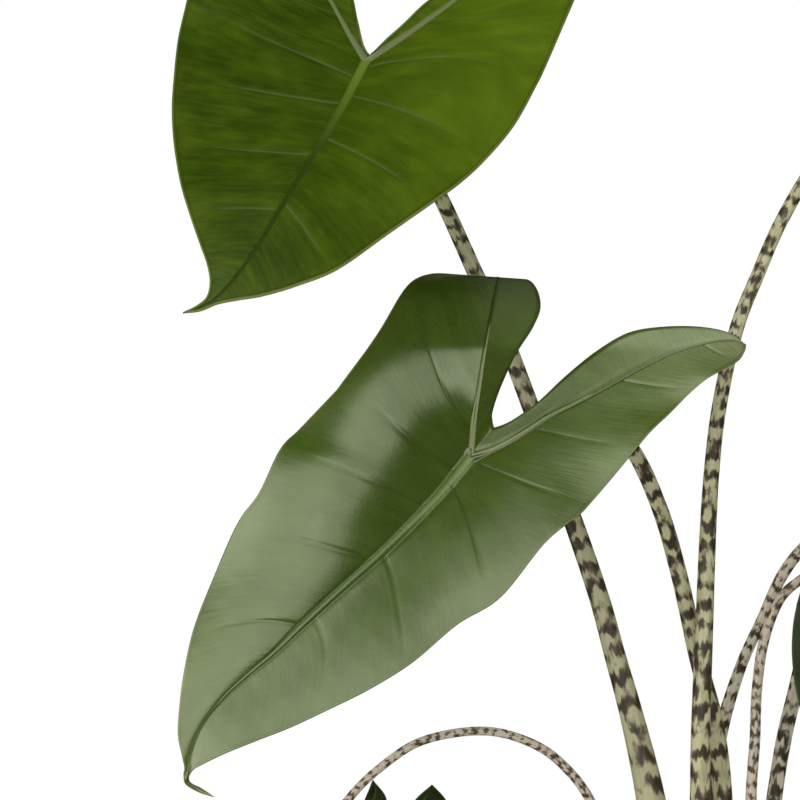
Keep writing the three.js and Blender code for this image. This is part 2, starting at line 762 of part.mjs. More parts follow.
function soilSolid() {
  const neck = POT_HEIGHT - RIM_BAND;
  const hole = CROWN_RADIUS + CLEAR;
  const inside = (z) => wallRadius(z) - POT_WALL - CLEAR - 0.1;
  const surface = [];
  for (let i = 0; i <= 5; i++) {
    const f = i / 5;
    const r = inside(neck) + (hole - inside(neck)) * f;
    surface.push([r, neck - 1 + (SOIL_CROWN - neck + 1) * Math.sin((f * Math.PI) / 2)]);
  }
  return turned(
    [
      [0, POT_FLOOR + CLEAR],
      [inside(POT_FLOOR + CLEAR), POT_FLOOR + CLEAR],
      ...surface,
      [hole, CROWN_BOTTOM - CLEAR],
      [0, CROWN_BOTTOM - CLEAR],
    ],
    48,
  );
}

function crownSolid() {
  return turned(
    [
      [0, CROWN_BOTTOM],
      [CROWN_RADIUS - 9, CROWN_BOTTOM],
      [CROWN_RADIUS - 2, CROWN_BOTTOM + 12],
      [CROWN_RADIUS, CROWN_BOTTOM + 25],
      [CROWN_RADIUS - 0.5, CROWN_TOP - 3],
      [CROWN_RADIUS - 2.5, CROWN_TOP],
      [0, CROWN_TOP],
    ],
    32,
  );
}

const kernel = await Module();
kernel.setup();

function toKernel(geometry) {
  const position = geometry.getAttribute("position");
  const index = geometry.index.array;
  const keys = new Map();
  const points = [];
  const map = [];
  for (let i = 0; i < position.count; i++) {
    const p = [position.getX(i), position.getY(i), position.getZ(i)];
    const key = p.map((x) => Math.round(x * 1000)).join();
    if (!keys.has(key)) {
      keys.set(key, points.length / 3);
      points.push(...p);
    }
    map.push(keys.get(key));
  }
  const faces = [];
  for (let i = 0; i < index.length; i += 3) {
    const [a, b, c] = [map[index[i]], map[index[i + 1]], map[index[i + 2]]];
    if (a !== b && b !== c && c !== a) faces.push(a, b, c);
  }
  return new kernel.Manifold(
    new kernel.Mesh({
      numProp: 3,
      vertProperties: new Float32Array(points),
      triVerts: new Uint32Array(faces),
    }),
  );
}

function fromKernel(solid) {
  const mesh = solid.getMesh();
  const geometry = new THREE.BufferGeometry();
  geometry.setAttribute("position", new THREE.BufferAttribute(mesh.vertProperties, 3));
  geometry.setIndex(new THREE.BufferAttribute(mesh.triVerts, 1));
  const flat = geometry.toNonIndexed();
  flat.computeVertexNormals();
  return flat;
}

function drilledPot() {
  let pot = toKernel(potSolid());
  for (let i = 0; i < DRAIN_HOLES; i++) {
    const a = (2 * Math.PI * (i + 0.5)) / DRAIN_HOLES;
    const drill = new THREE.CylinderGeometry(DRAIN_RADIUS, DRAIN_RADIUS, 12, 14);
    drill.rotateX(Math.PI / 2);
    drill.translate(DRAIN_CIRCLE * Math.cos(a), DRAIN_CIRCLE * Math.sin(a), 1);
    pot = pot.subtract(toKernel(drill));
  }
  return fromKernel(pot);
}

// The part.

const group = new THREE.Group();

function add(name, geometry, colour, roughness) {
  const material = new THREE.MeshStandardMaterial({ color: colour, roughness });
  const mesh = new THREE.Mesh(geometry, material);
  mesh.name = name;
  group.add(mesh);
}

add("pot", drilledPot(), POT_COLOUR, 0.55);
add("soil", soilSolid(), SOIL_COLOUR, 0.95);
add("rhizome", crownSolid(), CROWN_COLOUR, 0.9);
for (const leaf of LEAVES) {
  add(leaf.name + "_petiole", stalk(STALKS[leaf.name], joint(leaf)), STALK_COLOUR, 0.55);
  add(leaf.name + "_blade", bladeSheet(leaf).shell(BLADE_THICK), leaf.colour, 0.4);
}

export default group;
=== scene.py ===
# %% [markdown]
# # A potted zebrina alocasia
#
# This lesson dresses a finished CAD model of a house plant: seven arrow-shaped leaves on
# banded stalks, the crown that they grow from, soil, and a plain nursery pot. The CAD model
# gives the size and the place of every piece, and it never moves. Each piece is built again
# here with a finer mesh of the same form, and gets its own finish.

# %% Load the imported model
import math
import random

import bmesh
import bpy
import numpy as np
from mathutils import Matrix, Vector


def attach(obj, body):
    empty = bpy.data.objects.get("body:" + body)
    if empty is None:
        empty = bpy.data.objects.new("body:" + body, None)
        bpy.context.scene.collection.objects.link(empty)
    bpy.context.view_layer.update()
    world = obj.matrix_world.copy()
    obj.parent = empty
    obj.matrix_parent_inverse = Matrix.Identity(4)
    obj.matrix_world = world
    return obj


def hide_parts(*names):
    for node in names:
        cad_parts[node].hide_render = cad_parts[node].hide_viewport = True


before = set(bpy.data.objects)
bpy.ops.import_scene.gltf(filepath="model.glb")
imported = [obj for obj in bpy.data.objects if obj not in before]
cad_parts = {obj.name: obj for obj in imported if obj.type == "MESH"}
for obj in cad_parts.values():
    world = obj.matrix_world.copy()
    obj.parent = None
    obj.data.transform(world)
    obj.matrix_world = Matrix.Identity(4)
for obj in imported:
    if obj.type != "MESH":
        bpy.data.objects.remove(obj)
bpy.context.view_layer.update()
MM = 0.001
print("nodes in the frame:", len(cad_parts))

# %% [markdown]
# ## The camera
#
# The plant is seen level, from 3 m in front of the pot. A long lens at that distance keeps
# the leaves in proportion. With a 36 mm sensor and a 270 mm lens the picture is 400 mm wide
# at the pot's axis, so half a millimetre there is one pixel of an 800 pixel picture.

# %% Camera
EYE_X, EYE_Z, EYE_FAR = -152.5, 435.0, 3000.0


def add_object(name, data):
    """Put a mesh, a lamp or a camera into the scene."""
    thing = bpy.data.objects.new(name, data)
    bpy.context.scene.collection.objects.link(thing)
    return thing


eye = bpy.data.cameras.new("eye")
eye.sensor_width = 36
eye.lens = 270
eye.clip_end = 50
camera = add_object("eye", eye)
camera.location = (EYE_X * MM, -EYE_FAR * MM, EYE_Z * MM)
camera.rotation_euler = (math.pi / 2, 0, 0)
bpy.context.scene.camera = camera
bpy.context.scene.view_settings.view_transform = "Standard"
print("picture width at the axis, mm:", EYE_FAR * eye.sensor_width / eye.lens)

# %% [markdown]
# ## The studio
#
# The sheen of these leaves is the picture of the lights in a waxy skin, so the lights are
# chosen by what the leaves mirror. Tall soft panels stand in an arc from the left to the
# front right. The left ones are the brighter, and each fades out at its top in two steps, so
# that its edge in the skin is soft. A low one lights the right and a dim one hangs over the
# front. It stays dark far to the right and straight above, which gives the front leaf its
# dark bowl and keeps the steep upper leaf deep green.

# %% Lights
AIM = Vector((-0.15, -0.08, 0.42))
PANEL_FAR = 2.6
PANEL_TOP = 2.75
FADES = (("_above", PANEL_TOP, 3.25, 0.62), ("_top", 3.25, 3.9, 0.28))
OVERHEAD = Vector((-1.0, -1.75, 3.5))
LAMP_COLOUR = (1.0, 0.99, 0.96)
FILL = 0.85


def soft_light(name, place, size, level, faces):
    """A soft rectangle at a place, facing a way; level is its radiance."""
    lamp = bpy.data.lights.new(name, "AREA")
    lamp.shape = "RECTANGLE"
    lamp.size, lamp.size_y = size
    lamp.energy = level * math.pi * size[0] * size[1]
    lamp.color = LAMP_COLOUR
    light = add_object(name, lamp)
    light.location = place
    light.rotation_euler = Vector(faces).to_track_quat("-Z", "Y").to_euler()
    light.visible_camera = False


def panel(name, start, stop, low, high, level):
    """A standing panel between two azimuths from the front, in degrees, and two heights."""
    a = math.radians((start + stop) / 2)
    way = Vector((math.sin(a), -math.cos(a), 0))
    wide = 2 * PANEL_FAR * math.tan(math.radians(stop - start) / 2)
    place = Vector((AIM.x, AIM.y, (low + high) / 2)) + PANEL_FAR * way
    soft_light(name, place, (wide, high - low), level, -way)


def fading_panel(name, start, stop, low, level):
    """A panel whose top fades out in two steps."""
    panel(name, start, stop, low, PANEL_TOP, level)
    for part, bottom, top, share in FADES:
        panel(name + part, start, stop, bottom, top, share * level)


fading_panel("panel_left", -82, -48, 0.02, 1.95)
fading_panel("panel_near_left", -48, -20, 0.02, 1.75)
fading_panel("panel_front", -20, 8, 0.02, 1.3)
fading_panel("panel_near_right", 8, 26, 0.25, 1.35)
fading_panel("panel_right", 26, 54, 1.05, 0.95)
panel("panel_low_right", 20, 54, 0.36, 1.05, 1.3)
soft_light("panel_top", OVERHEAD, (3.4, 1.9), 0.36, AIM - OVERHEAD)

world = bpy.data.worlds.new("studio")
world.use_nodes = True
bpy.context.scene.world = world
air = world.node_tree
seen_by = air.nodes.new("ShaderNodeLightPath")
fill = air.nodes.new("ShaderNodeMath")
fill.operation = "MULTIPLY_ADD"
fill.inputs[1].default_value = FILL
air.links.new(seen_by.outputs["Is Diffuse Ray"], fill.inputs[0])
air.links.new(seen_by.outputs["Is Camera Ray"], fill.inputs[2])
air.links.new(fill.outputs[0], air.nodes["Background"].inputs["Strength"])
air.nodes["Background"].inputs["Color"].default_value = (1, 1, 1, 1)
print("lamps:", len(bpy.data.lights))

# %% [markdown]
# ## Finishes
#
# Every finish is made of nodes. These short helpers add a node, a noise or a mix to the
# material that was started last, so that a finish reads as a list of what the eye sees: a
# ground colour, how it varies, the lines on it, then its gloss and its relief.

# %% Node helpers
def new_finish(name, rough, specular, ior):
    """Start a material; its constants sit on the shader's own sockets."""
    global tree, skin
    finish = bpy.data.materials.new(name)
    finish.use_nodes = True
    tree = finish.node_tree
    skin = tree.nodes["Principled BSDF"]
    skin.inputs["Roughness"].default_value = rough
    skin.inputs["Specular IOR Level"].default_value = specular
    skin.inputs["IOR"].default_value = ior
    return finish


def put(kind, inputs=(), **settings):
    """Add a node; inputs are (socket, value or output) pairs."""
    node = tree.nodes.new(kind)
    for key, value in settings.items():
        setattr(node, key, value)
    for key, value in inputs:
        if isinstance(value, bpy.types.NodeSocket):
            tree.links.new(value, node.inputs[key])
        else:
            node.inputs[key].default_value = value
    return node


def calc(operation, a, b=0.0, c=0.0, clamp=False):
    """One sum on numbers or outputs."""
    pairs = [(0, a), (1, b), (2, c)]
    return put("ShaderNodeMath", pairs, operation=operation, use_clamp=clamp).outputs[0]


def attribute(name):
    return put("ShaderNodeAttribute", attribute_name=name).outputs["Vector"]


def parts_of(vector):
    """The X, Y and Z of a vector, by name."""
    return put("ShaderNodeSeparateXYZ", [("Vector", vector)]).outputs


def place_in():
    return put("ShaderNodeTexCoord").outputs["Object"]


def stretch(vector, scale, shift=(0, 0, 0)):
    """Scale and shift a vector."""
    pairs = [("Vector", vector), ("Scale", scale), ("Location", shift)]
    return put("ShaderNodeMapping", pairs).outputs[0]


def cloudy(vector, scale=1.0, detail=3.0, rough=0.55):
    """Noise between 0 and 1."""
    pairs = [("Vector", vector), ("Scale", scale), ("Detail", detail), ("Roughness", rough)]
    return put("ShaderNodeTexNoise", pairs).outputs["Fac"]


def between(value, low, high):
    """0 below low, 1 above high, smooth between; low above high turns it round."""
    pairs = [("Value", value), (1, min(low, high)), (2, max(low, high))]
    if low > high:
        pairs += [(3, 1.0), (4, 0.0)]
    return put("ShaderNodeMapRange", pairs, interpolation_type="SMOOTHSTEP").outputs[0]


def blend(amount, a, b, most=1):
    """Mix two colours, from all a at 0 to all b at 1; most thins out b."""
    if most != 1:
        amount = calc("MULTIPLY", amount, most)
    a, b = (c if isinstance(c, bpy.types.NodeSocket) else (*c, 1) for c in (a, b))
    pairs = [(0, amount), (6, a), (7, b)]
    return put("ShaderNodeMix", pairs, data_type="RGBA", clamp_factor=True).outputs[2]


def relief(height, depth, strength, under=None):
    """A bump of a depth in metres; under is a coarser bump below it."""
    pairs = [("Height", height), ("Distance", depth), ("Strength", strength)]
    if under:
        pairs.append(("Normal", under))
    out = put("ShaderNodeBump", pairs).outputs[0]
    tree.links.new(out, skin.inputs["Normal"])
    return out


def paint(colour, rough=None):
    """Give the shader its colour and, where that varies, its roughness."""
    tree.links.new(colour, skin.inputs["Base Color"])
    if rough:
        tree.links.new(rough, skin.inputs["Roughness"])


# %% [markdown]
# A finished mesh becomes a piece: an object at the origin that rides on the plant's one body,
# stands for the CAD node of the same place, and gets the finishes given to it.

# %% Piece helper
def make_piece(bm, name, finishes, node):
    """Turn a bmesh into a piece that rides on the root and may stand for a node."""
    mesh = bpy.data.meshes.new(name)
    bm.to_mesh(mesh)
    bm.free()
    mesh.shade_smooth()
    for finish in finishes:
        mesh.materials.append(finish)
    piece = add_object(name, mesh)
    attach(piece, "root")
    if node:
        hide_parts(node)
    print(name, "faces:", len(mesh.polygons))
    return piece


def lay_patch(bm, place, **layers):
    """A grid whose corners go to place[i, j], in mm, and keep a vector in each named layer."""
    stores = bm.verts.layers.float_vector
    kept = [(stores.get(key) or stores.new(key), array.tolist()) for key, array in layers.items()]
    rows, columns = place.shape[0] - 1, place.shape[1] - 1
    made = bmesh.ops.create_grid(bm, x_segments=rows, y_segments=columns, size=1.0)["verts"]
    where = (place * MM).tolist()
    for vert in made:
        i = round((vert.co.x + 1) / 2 * rows)
        j = round((vert.co.y + 1) / 2 * columns)
        vert.co = where[i][j]
        for layer, values in kept:
            vert[layer] = values[i][j]


# %% [markdown]
# ## Leaves
#
# A leaf of this plant is an arrow head. A midrib runs from the stalk's joint to a drip tip,
# and a rib runs to the tip of each of the two lobes behind the joint. Each table row below is
# one line across the blade: a point on the rib and one on each margin, in mm. The midrib's
# rows run down to the tip with the left and the right margin, and a lobe's rows run up to its
# tip with its outer and its inner margin. A smooth curve through the rows gives every point
# between.

# %% Leaf outlines
def outline(notch, midrib, left, right):
    """Tables of a leaf; a tip is one point, and both lobes start at the joint and the notch."""
    joint = midrib[0][:2]
    tables = {"midrib": midrib, "left": [joint + midrib[0][2:4] + notch] + left,
              "right": [joint + midrib[0][4:] + notch] + right}
    whole = lambda row: np.reshape(row * 3 if len(row) == 2 else row, (3, 2))
    return {key: [whole(row) for row in rows] for key, rows in tables.items()}


UPPER_LEFT = outline(
    notch=(-167.5, 607.5),
    midrib=[
        (-169.5, 604, -259.5, 632.5, -82, 596.5), (-174.5, 594.5, -263.5, 615, -95, 573),
        (-180, 584, -265.5, 597, -109, 556), (-187, 571.5, -266.5, 581, -122.5, 543.5),
        (-195.5, 557.5, -265.5, 562.5, -138.5, 532), (-203.5, 545, -262.5, 544, -158.5, 518),
        (-212, 531, -258, 528.5, -183.5, 500.5), (-221.5, 515, -252.5, 512.5, -204.5, 492),
        (-230.5, 501.5, -249, 502.5, -221.5, 487), (-238.5, 491.5, -247.5, 494, -233.5, 485),
        (-246, 484.5, -249, 486.5, -243.5, 483), (-253.5, 480.5, -254, 482, -252.5, 479.5),
        (-261, 478.5),
    ],
    left=[
        (-173.5, 610, -257, 644, -170, 611), (-179, 619.5, -254.5, 654, -172, 617.5),
        (-185.5, 631.5, -252, 662.5, -174, 626.5), (-193, 643, -249.5, 670, -177, 639),
        (-202, 655, -246.5, 676.5, -184.5, 651.5), (-212, 667, -243, 682, -196.5, 664),
        (-223, 678.5, -238.5, 686, -213.5, 677), (-232.5, 689),
    ],
    right=[
        (-158.5, 611, -76, 610, -160.5, 614.5), (-146.5, 619, -70.5, 623, -151.5, 622.5),
        (-132.5, 629, -65, 636, -140.5, 633), (-118.5, 639.5, -60.5, 648.5, -126.5, 643),
        (-104.5, 650, -57, 658.5, -111.5, 653.5), (-90.5, 660, -54.5, 667, -95.5, 663.5),
        (-76.5, 669, -54, 674, -79.5, 672), (-58.5, 679),
    ],
)
FRONT_LEFT = outline(
    notch=(-105.5, 421),
    midrib=[
        (-117.5, 406, -184, 440, -62, 378), (-125, 397, -202.5, 420.5, -79.5, 364),
        (-134, 386.5, -212.5, 410, -102, 336.5), (-149, 371, -223, 388.5, -124, 322.5),
        (-165.5, 355, -233.5, 373.5, -146.5, 303.5), (-182.5, 340, -245.5, 346.5, -167.5, 290.5),
        (-201, 323, -255.5, 321, -187.5, 280.5), (-214.5, 310, -260.5, 299, -206.5, 271.5),
        (-227.5, 299, -263, 280, -224.5, 264.5), (-239.5, 288, -263.5, 266.5, -239.5, 258.5),
        (-250, 275.5, -261.5, 257.5, -250, 253.5), (-256, 262, -260, 251, -255.5, 250.5),
        (-259, 248, -260.5, 247, -257.5, 248), (-258.5, 243.5, -259.5, 243, -257.5, 244),
        (-252.5, 240, -253, 239, -252, 241), (-245.5, 236.5),
    ],
    left=[
        (-116.5, 414.5, -162.5, 470, -106.5, 424.5), (-115.5, 426, -147.5, 499, -106.5, 429.5),
        (-113, 442.5, -137.5, 512, -102.5, 441.5), (-110, 462.5, -128.5, 521.5, -95, 457.5),
        (-107, 480.5, -120.5, 531, -85.5, 473), (-104.5, 500.5, -113.5, 540, -82.5, 487),
        (-103.5, 520, -108, 547, -88.5, 512), (-103.5, 553),
    ],
    right=[
        (-105.5, 410, -51, 390.5, -101, 422.5), (-92.5, 417, -38.5, 405.5, -94.5, 426),
        (-77.5, 426.5, -27.5, 419, -83.5, 434), (-62.5, 434, -17.5, 428.5, -69.5, 447),
        (-46, 443, -7.5, 438.5, -54, 459.5), (-30.5, 451.5, 1.5, 446, -38.5, 468.5),
        (-14.5, 459, 10.5, 451, -21.5, 471.5), (1.5, 463.5, 17, 455, -2.5, 471.5),
        (13.5, 464.5, 20, 459.5, 12, 468.5), (20.5, 462.5),
    ],
)
LOW_RIGHT = outline(
    notch=(84, 343),
    midrib=[
        (83.5, 339, 46, 333.5, 122.5, 335), (83, 327.5, 44, 321.5, 123, 321),
        (81.5, 312.5, 43.5, 307.5, 119.5, 304), (79.5, 295, 45.5, 290, 112.5, 285),
        (77.5, 277.5, 50.5, 272, 102.5, 266), (75, 260, 58.5, 255, 90.5, 249),
        (73, 244, 66.5, 241, 79.5, 237.5), (71.5, 227.5),
    ],
    left=[
        (78, 348.5, 49.5, 345, 82, 349), (72, 359.5, 53.5, 357, 77.5, 359),
        (66.5, 371, 58, 369, 72.5, 370), (62, 382.5),
    ],
    right=[
        (90, 348.5, 120, 347.5, 86.5, 349.5), (96.5, 359.5, 115.5, 359.5, 91.5, 359.5),
        (102, 370, 109, 371, 97.5, 370), (104.5, 381),
    ],
)
LOW_LEFT = outline(
    notch=(-185.5, 204),
    midrib=[
        (-193.5, 199, -208.5, 196, -153.5, 185), (-199.5, 188.5, -216.5, 185, -166.5, 172.5),
        (-206, 176, -223.5, 172, -181.5, 160), (-213, 163, -228, 158.5, -197.5, 149),
        (-219.5, 150, -230, 145, -212, 141), (-224.5, 139, -230, 135, -223, 134),
        (-228.5, 126),
    ],
    left=[
        (-184.5, 210, -195.5, 209, -177.5, 210), (-175, 221, -183.5, 219, -167.5, 218),
        (-167.5, 232, -173, 229.5, -160.5, 229), (-164.5, 239, -168.5, 238.5, -159.5, 236.5),
        (-166, 245),
    ],
    right=[
        (-178.5, 207, -142.5, 197, -176.5, 209.5), (-163.5, 216, -133.5, 209, -163.5, 218.5),
        (-150, 226, -128.5, 222, -151.5, 227.5), (-140.5, 234.5, -129, 233.5, -143.5, 236.5),
        (-136.5, 242.5),
    ],
)
HANGING = outline(
    notch=(0, 8),
    midrib=[
        (0, 0, -92, 12, 92, 12), (0, -15, -92, -9, 92, -9),
        (1, -33, -88, -32, 88, -33), (2, -54, -81, -58, 82, -60),
        (3, -77, -71, -84, 73, -87), (4, -101, -58, -110, 61, -113),
        (5, -125, -43, -134, 48, -137), (5, -148, -29, -156, 35, -159),
        (5, -169, -17, -176, 24, -178), (5, -188, -7, -193, 14, -195),
        (6, -204, 2, -206, 9, -207), (9, -222),
    ],
    left=[
        (-9, 14, -91, 30, -4, 15), (-20, 31, -89, 48, -11, 29),
        (-31, 50, -86, 65, -20, 47), (-41, 69, -82, 81, -31, 66),
        (-50, 87, -77, 95, -42, 85), (-57, 102, -71, 107, -52, 101),
        (-63, 118),
    ],
    right=[
        (10, 14, 93, 30, 4, 15), (22, 31, 92, 48, 12, 29),
        (34, 50, 90, 66, 22, 47), (45, 70, 87, 83, 33, 67),
        (54, 89, 82, 98, 45, 87), (61, 105, 75, 110, 56, 104),
        (68, 122),
    ],
)

# %% [markdown]
# The picture is flat, so each leaf also needs a lie in depth. A sheet leans back as it goes
# up and across. The front leaf's left lobe rolls backwards over a crest, like paper round a
# tube, and eases into the roll. The leaves that aren't in the picture hang outwards on their
# stalks. On top of the sheet comes its form: the halves rise from the midrib like an open
# book (cup), swell between the ribs (camber), wave at the margin and droop at the tips. These
# are the CAD model's own numbers, so the finer leaf lies where the plain one does. Only the
# front leaf is arched and opened a few millimetres more, for the sake of its sheen.

# %% Leaf forms
EVEN = {"set": 0, "open": 0, "flat": 0, "rise": (0, 0), "curl": 0.2}
HANGS = {**EVEN, "camber": (8, 8), "arch": 0, "droop": 0, "lobe_droop": 6, "wave": 2.4, "waves": 4}
SMALL = {**EVEN, "camber": (4, 4), "arch": 3, "droop": 5, "wave": 1.1, "waves": 3}
FRONT_FORM = {"cup": (29, 12), "set": 1.6, "open": 0.97, "camber": (5, 3), "flat": 1,
              "rise": (16, 0), "curl": 0.1, "arch": 6.5, "droop": 8, "lobe_droop": 5,
              "wave": 2, "waves": 4}
UPPER_FORM = {**EVEN, "cup": (16, 16), "camber": (9, 9), "curl": 0.6, "arch": 7, "droop": 10,
              "lobe_droop": 14, "wave": 2.6, "waves": 4}

LEAVES = {
    "upper_left": {"sheet": UPPER_LEFT, "form": UPPER_FORM, "bead": 2.0,
                   "lean": (-169.5, 604, -62, 1.29, -0.14)},
    "front_left": {"sheet": FRONT_LEFT, "form": FRONT_FORM, "bead": 2.4, "lobe_bead": 0.55,
                   "lean": (-117.5, 406, -88, 0.44, 0.11),
                   "fold": {"v": 461, "tilt": -0.07, "from": -132, "radius": 37, "right": -70,
                            "soft": 22}},
    "low_right": {"sheet": LOW_RIGHT, "bead": 1.1, "lean": (83.5, 339, -44, 0.15, -0.1),
                  "form": {**SMALL, "cup": (9, 9), "lobe_droop": 2}},
    "low_left": {"sheet": LOW_LEFT, "bead": 1.1, "lean": (-193.5, 199, -74, 0.5, 0.1),
                 "form": {**SMALL, "cup": (7, 7), "lobe_droop": 3}},
    "top_right": {"sheet": HANGING, "bead": 2.2, "form": {**HANGS, "cup": (15, 15)},
                  "hang": ((138, 3, 606), 7, 77, 0.9, 330)},
    "mid_right": {"sheet": HANGING, "bead": 2.0, "form": {**HANGS, "cup": (14, 14)},
                  "hang": ((156, -106, 368), -40, 60, 0.88, 300)},
    "back_right": {"sheet": HANGING, "bead": 2.2, "form": {**HANGS, "cup": (14, 14)},
                   "hang": ((152, 188, 430), 30, 66, 0.96, 340)},
}
print("leaves:", len(LEAVES))


# %% Curves and places
def through(rows):
    """A smooth curve through rows of numbers, by row number; takes arrays."""
    rows = np.array(rows, float)
    last = len(rows) - 1
    padded = np.vstack([2 * rows[:1] - rows[1:2], rows, 2 * rows[-1:] - rows[-2:-1]])

    def at(s):
        s = np.clip(s, 0, last)
        i = np.clip(np.floor(s).astype(int), 0, last - 1)
        f = (s - i)[..., None]
        p0, p1, p2, p3 = (padded[i + k] for k in range(4))
        m1, m2 = (p2 - p0) / 2, (p3 - p1) / 2
        a, b = 2 * p1 - 2 * p2 + m1 + m2, -3 * p1 + 3 * p2 - 2 * m1 - m2
        return ((a * f + b) * f + m1) * f + p1

    return at


def ease(a, b, x):
    """0 at a, 1 at b and smooth between."""
    f = np.clip((x - a) / (b - a), 0, 1)
    return f * f * (3 - 2 * f)


def unit(vectors):
    return vectors / np.linalg.norm(vectors, axis=-1, keepdims=True)


def seen(u, v, y):
    """The point y mm behind the axis that the eye sees at u, v on the plane through it."""
    k = (EYE_FAR + y) / EYE_FAR
    return np.stack([EYE_X + (u - EYE_X) * k, y + 0 * k, EYE_Z + (v - EYE_Z) * k], -1)


def placer(leaf):
    """Where a point of a leaf's sheet lies, with e mm of bulge to its upper side."""
    if "hang" in leaf:
        at, heading, dip, size, bend = leaf["hang"]
        a, d = math.radians(heading), math.radians(dip)
        m = np.array([math.cos(a) * math.cos(d), math.sin(a) * math.cos(d), -math.sin(d)])
        n = np.array([math.cos(a) * math.sin(d), math.sin(a) * math.sin(d), math.cos(d)])
        w = -np.cross(m, n)

        def hung(u, v, e):
            turn = -v * size / bend
            along = ((bend + e) * np.sin(turn))[..., None]
            off = ((bend + e) * np.cos(turn) - bend)[..., None]
            return np.array(at) + (u * size)[..., None] * w + along * m + off * n

        return hung
    lu, lv, ly, up, across = leaf["lean"]
    fold = leaf.get("fold")

    def leant(u, v, e):
        depth = lambda height: ly + up * (height - lv) + across * (u - lu)
        if not fold:
            return seen(u, v, depth(v) - e)
        crease = fold["v"] + fold["tilt"] * (u - fold["from"])
        radius, soft = fold["radius"], fold["soft"]
        # The bend sets in gently, a soft stretch below the crease.
        sunk = np.clip(v - crease + soft, 0, 2 * soft) ** 3 / (12 * radius * soft)
        sunk = sunk - np.clip(v - crease, 0, soft) ** 2 / (2 * radius)
        e = e - sunk * ease(fold["right"] - 5, fold["right"] - 30, u)
        flat = seen(u, v, depth(v) - e)
        turn = (v - crease) / radius
        rise = radius * np.sin(turn)
        back = radius * (1 - np.cos(turn)) + up * rise * np.cos(turn / 2) ** 2
        rolled = seen(u, crease + rise, depth(crease) + back - e)
        return np.where(((v < crease) | (u > fold["right"]))[..., None], flat, rolled)

    return leant


# %% [markdown]
# A leaf is built as four patches. Each half is one grid that runs from its lobe's tip, past
# the joint, to the leaf's tip, with one side on the rib and the other on the margin. The two
# strips inside the lobes are the other patches. Row numbers below 0 are on the lobe.

# %% Patches of a leaf
SPINE = 0.15
BOW = 0.035


def half_of(leaf, half):
    """Sheet place, bulge and width of a half; half is 1 for left, 2 for right."""
    lobe = leaf["sheet"]["left" if half == 1 else "right"]
    blade = side_of(leaf, leaf["sheet"]["midrib"], half, False, half)
    back = side_of(leaf, lobe, 1, True, half)

    def at(s, t):
        front, rear = blade(np.maximum(s, 0), t), back(np.maximum(-s, 0), t)
        return [np.where(s >= 0, a, b) for a, b in zip(front, rear)]

    return at


def side_of(leaf, rows, edge, is_lobe, half):
    """One side of a rib: t is 0 on the rib and 1 on the margin."""
    form, mid = leaf["form"], leaf["sheet"]["midrib"]
    joint, left, right = mid[0]
    tip = mid[-1][0]
    widest = np.hypot(*(right - left)) / 2
    long = np.hypot(*(tip - joint))
    way = (tip - joint) / long
    round_by = SPINE * widest
    top = leaf["fold"]["v"] if "fold" in leaf else np.inf
    rib = through([r[0] for r in rows])
    margin = through([r[edge] for r in rows])
    last = len(rows) - 1
    inner = is_lobe and edge == 2
    cup, level = form["cup"], form["set"]

    def cup_at(u, v):
        x, y = u - joint[0], np.minimum(v, top) - joint[1]
        d, along = x * way[1] - y * way[0], (x * way[0] + y * way[1]) / long
        deep = cup[1] + (cup[0] - cup[1]) * ease(-round_by, round_by, d)
        share = (np.hypot(d, round_by) - round_by) / (np.hypot(widest, round_by) - round_by)
        if level:
            share = np.tanh(level * share) / np.tanh(level)
        return deep * (1 - form["open"] * ease(0, 0.8, along)) * share

    def at(s, t):
        a, b = rib(s), margin(s)
        q = s / last
        wide = np.hypot(b[..., 0] - a[..., 0], b[..., 1] - a[..., 1])
        share = np.minimum(1, wide / widest)
        hump = 4 * t * (1 - t) * share
        camber = form["camber"][half - 1]
        turns = 2 * form["waves"] * s * (-1 if is_lobe else 1) / (len(mid) - 1) + half
        if is_lobe:
            rib_e = form["rise"][half - 1] * ease(0, 0.35, q) * ease(1, 0.7, q) * (1 - t)
            rib_e = rib_e - form["lobe_droop"] * q * q
            camber = camber * (1 - form["flat"] * ease(0, 0.35, q))
        else:
            rib_e = form["arch"] * np.sin(np.pi * q) ** 2 - form["droop"] * q * q
            camber = camber * (1 - form["flat"] * ease(0.3, 0.85, q))
        c, d = rib(np.maximum(0, s - 0.5)), rib(np.minimum(last, s + 0.5))
        step = np.maximum(np.hypot(d[..., 0] - c[..., 0], d[..., 1] - c[..., 1]), 1e-9)
        bow = 0 if inner else -BOW * 4 * t * (1 - t) * wide * np.minimum(1, q * 3) / step
        u = a[..., 0] + (b[..., 0] - a[..., 0]) * t + (d[..., 0] - c[..., 0]) * bow
        v = a[..., 1] + (b[..., 1] - a[..., 1]) * t + (d[..., 1] - c[..., 1]) * bow
        e = rib_e + cup_at(u, v)
        if inner:
            e = e + form["curl"] * wide * t * np.minimum(1, 3 * q)
        else:
            e = e + camber * hump + form["wave"] * share * t * t * np.sin(np.pi * turns)
        return u, v, e, wide

    return at
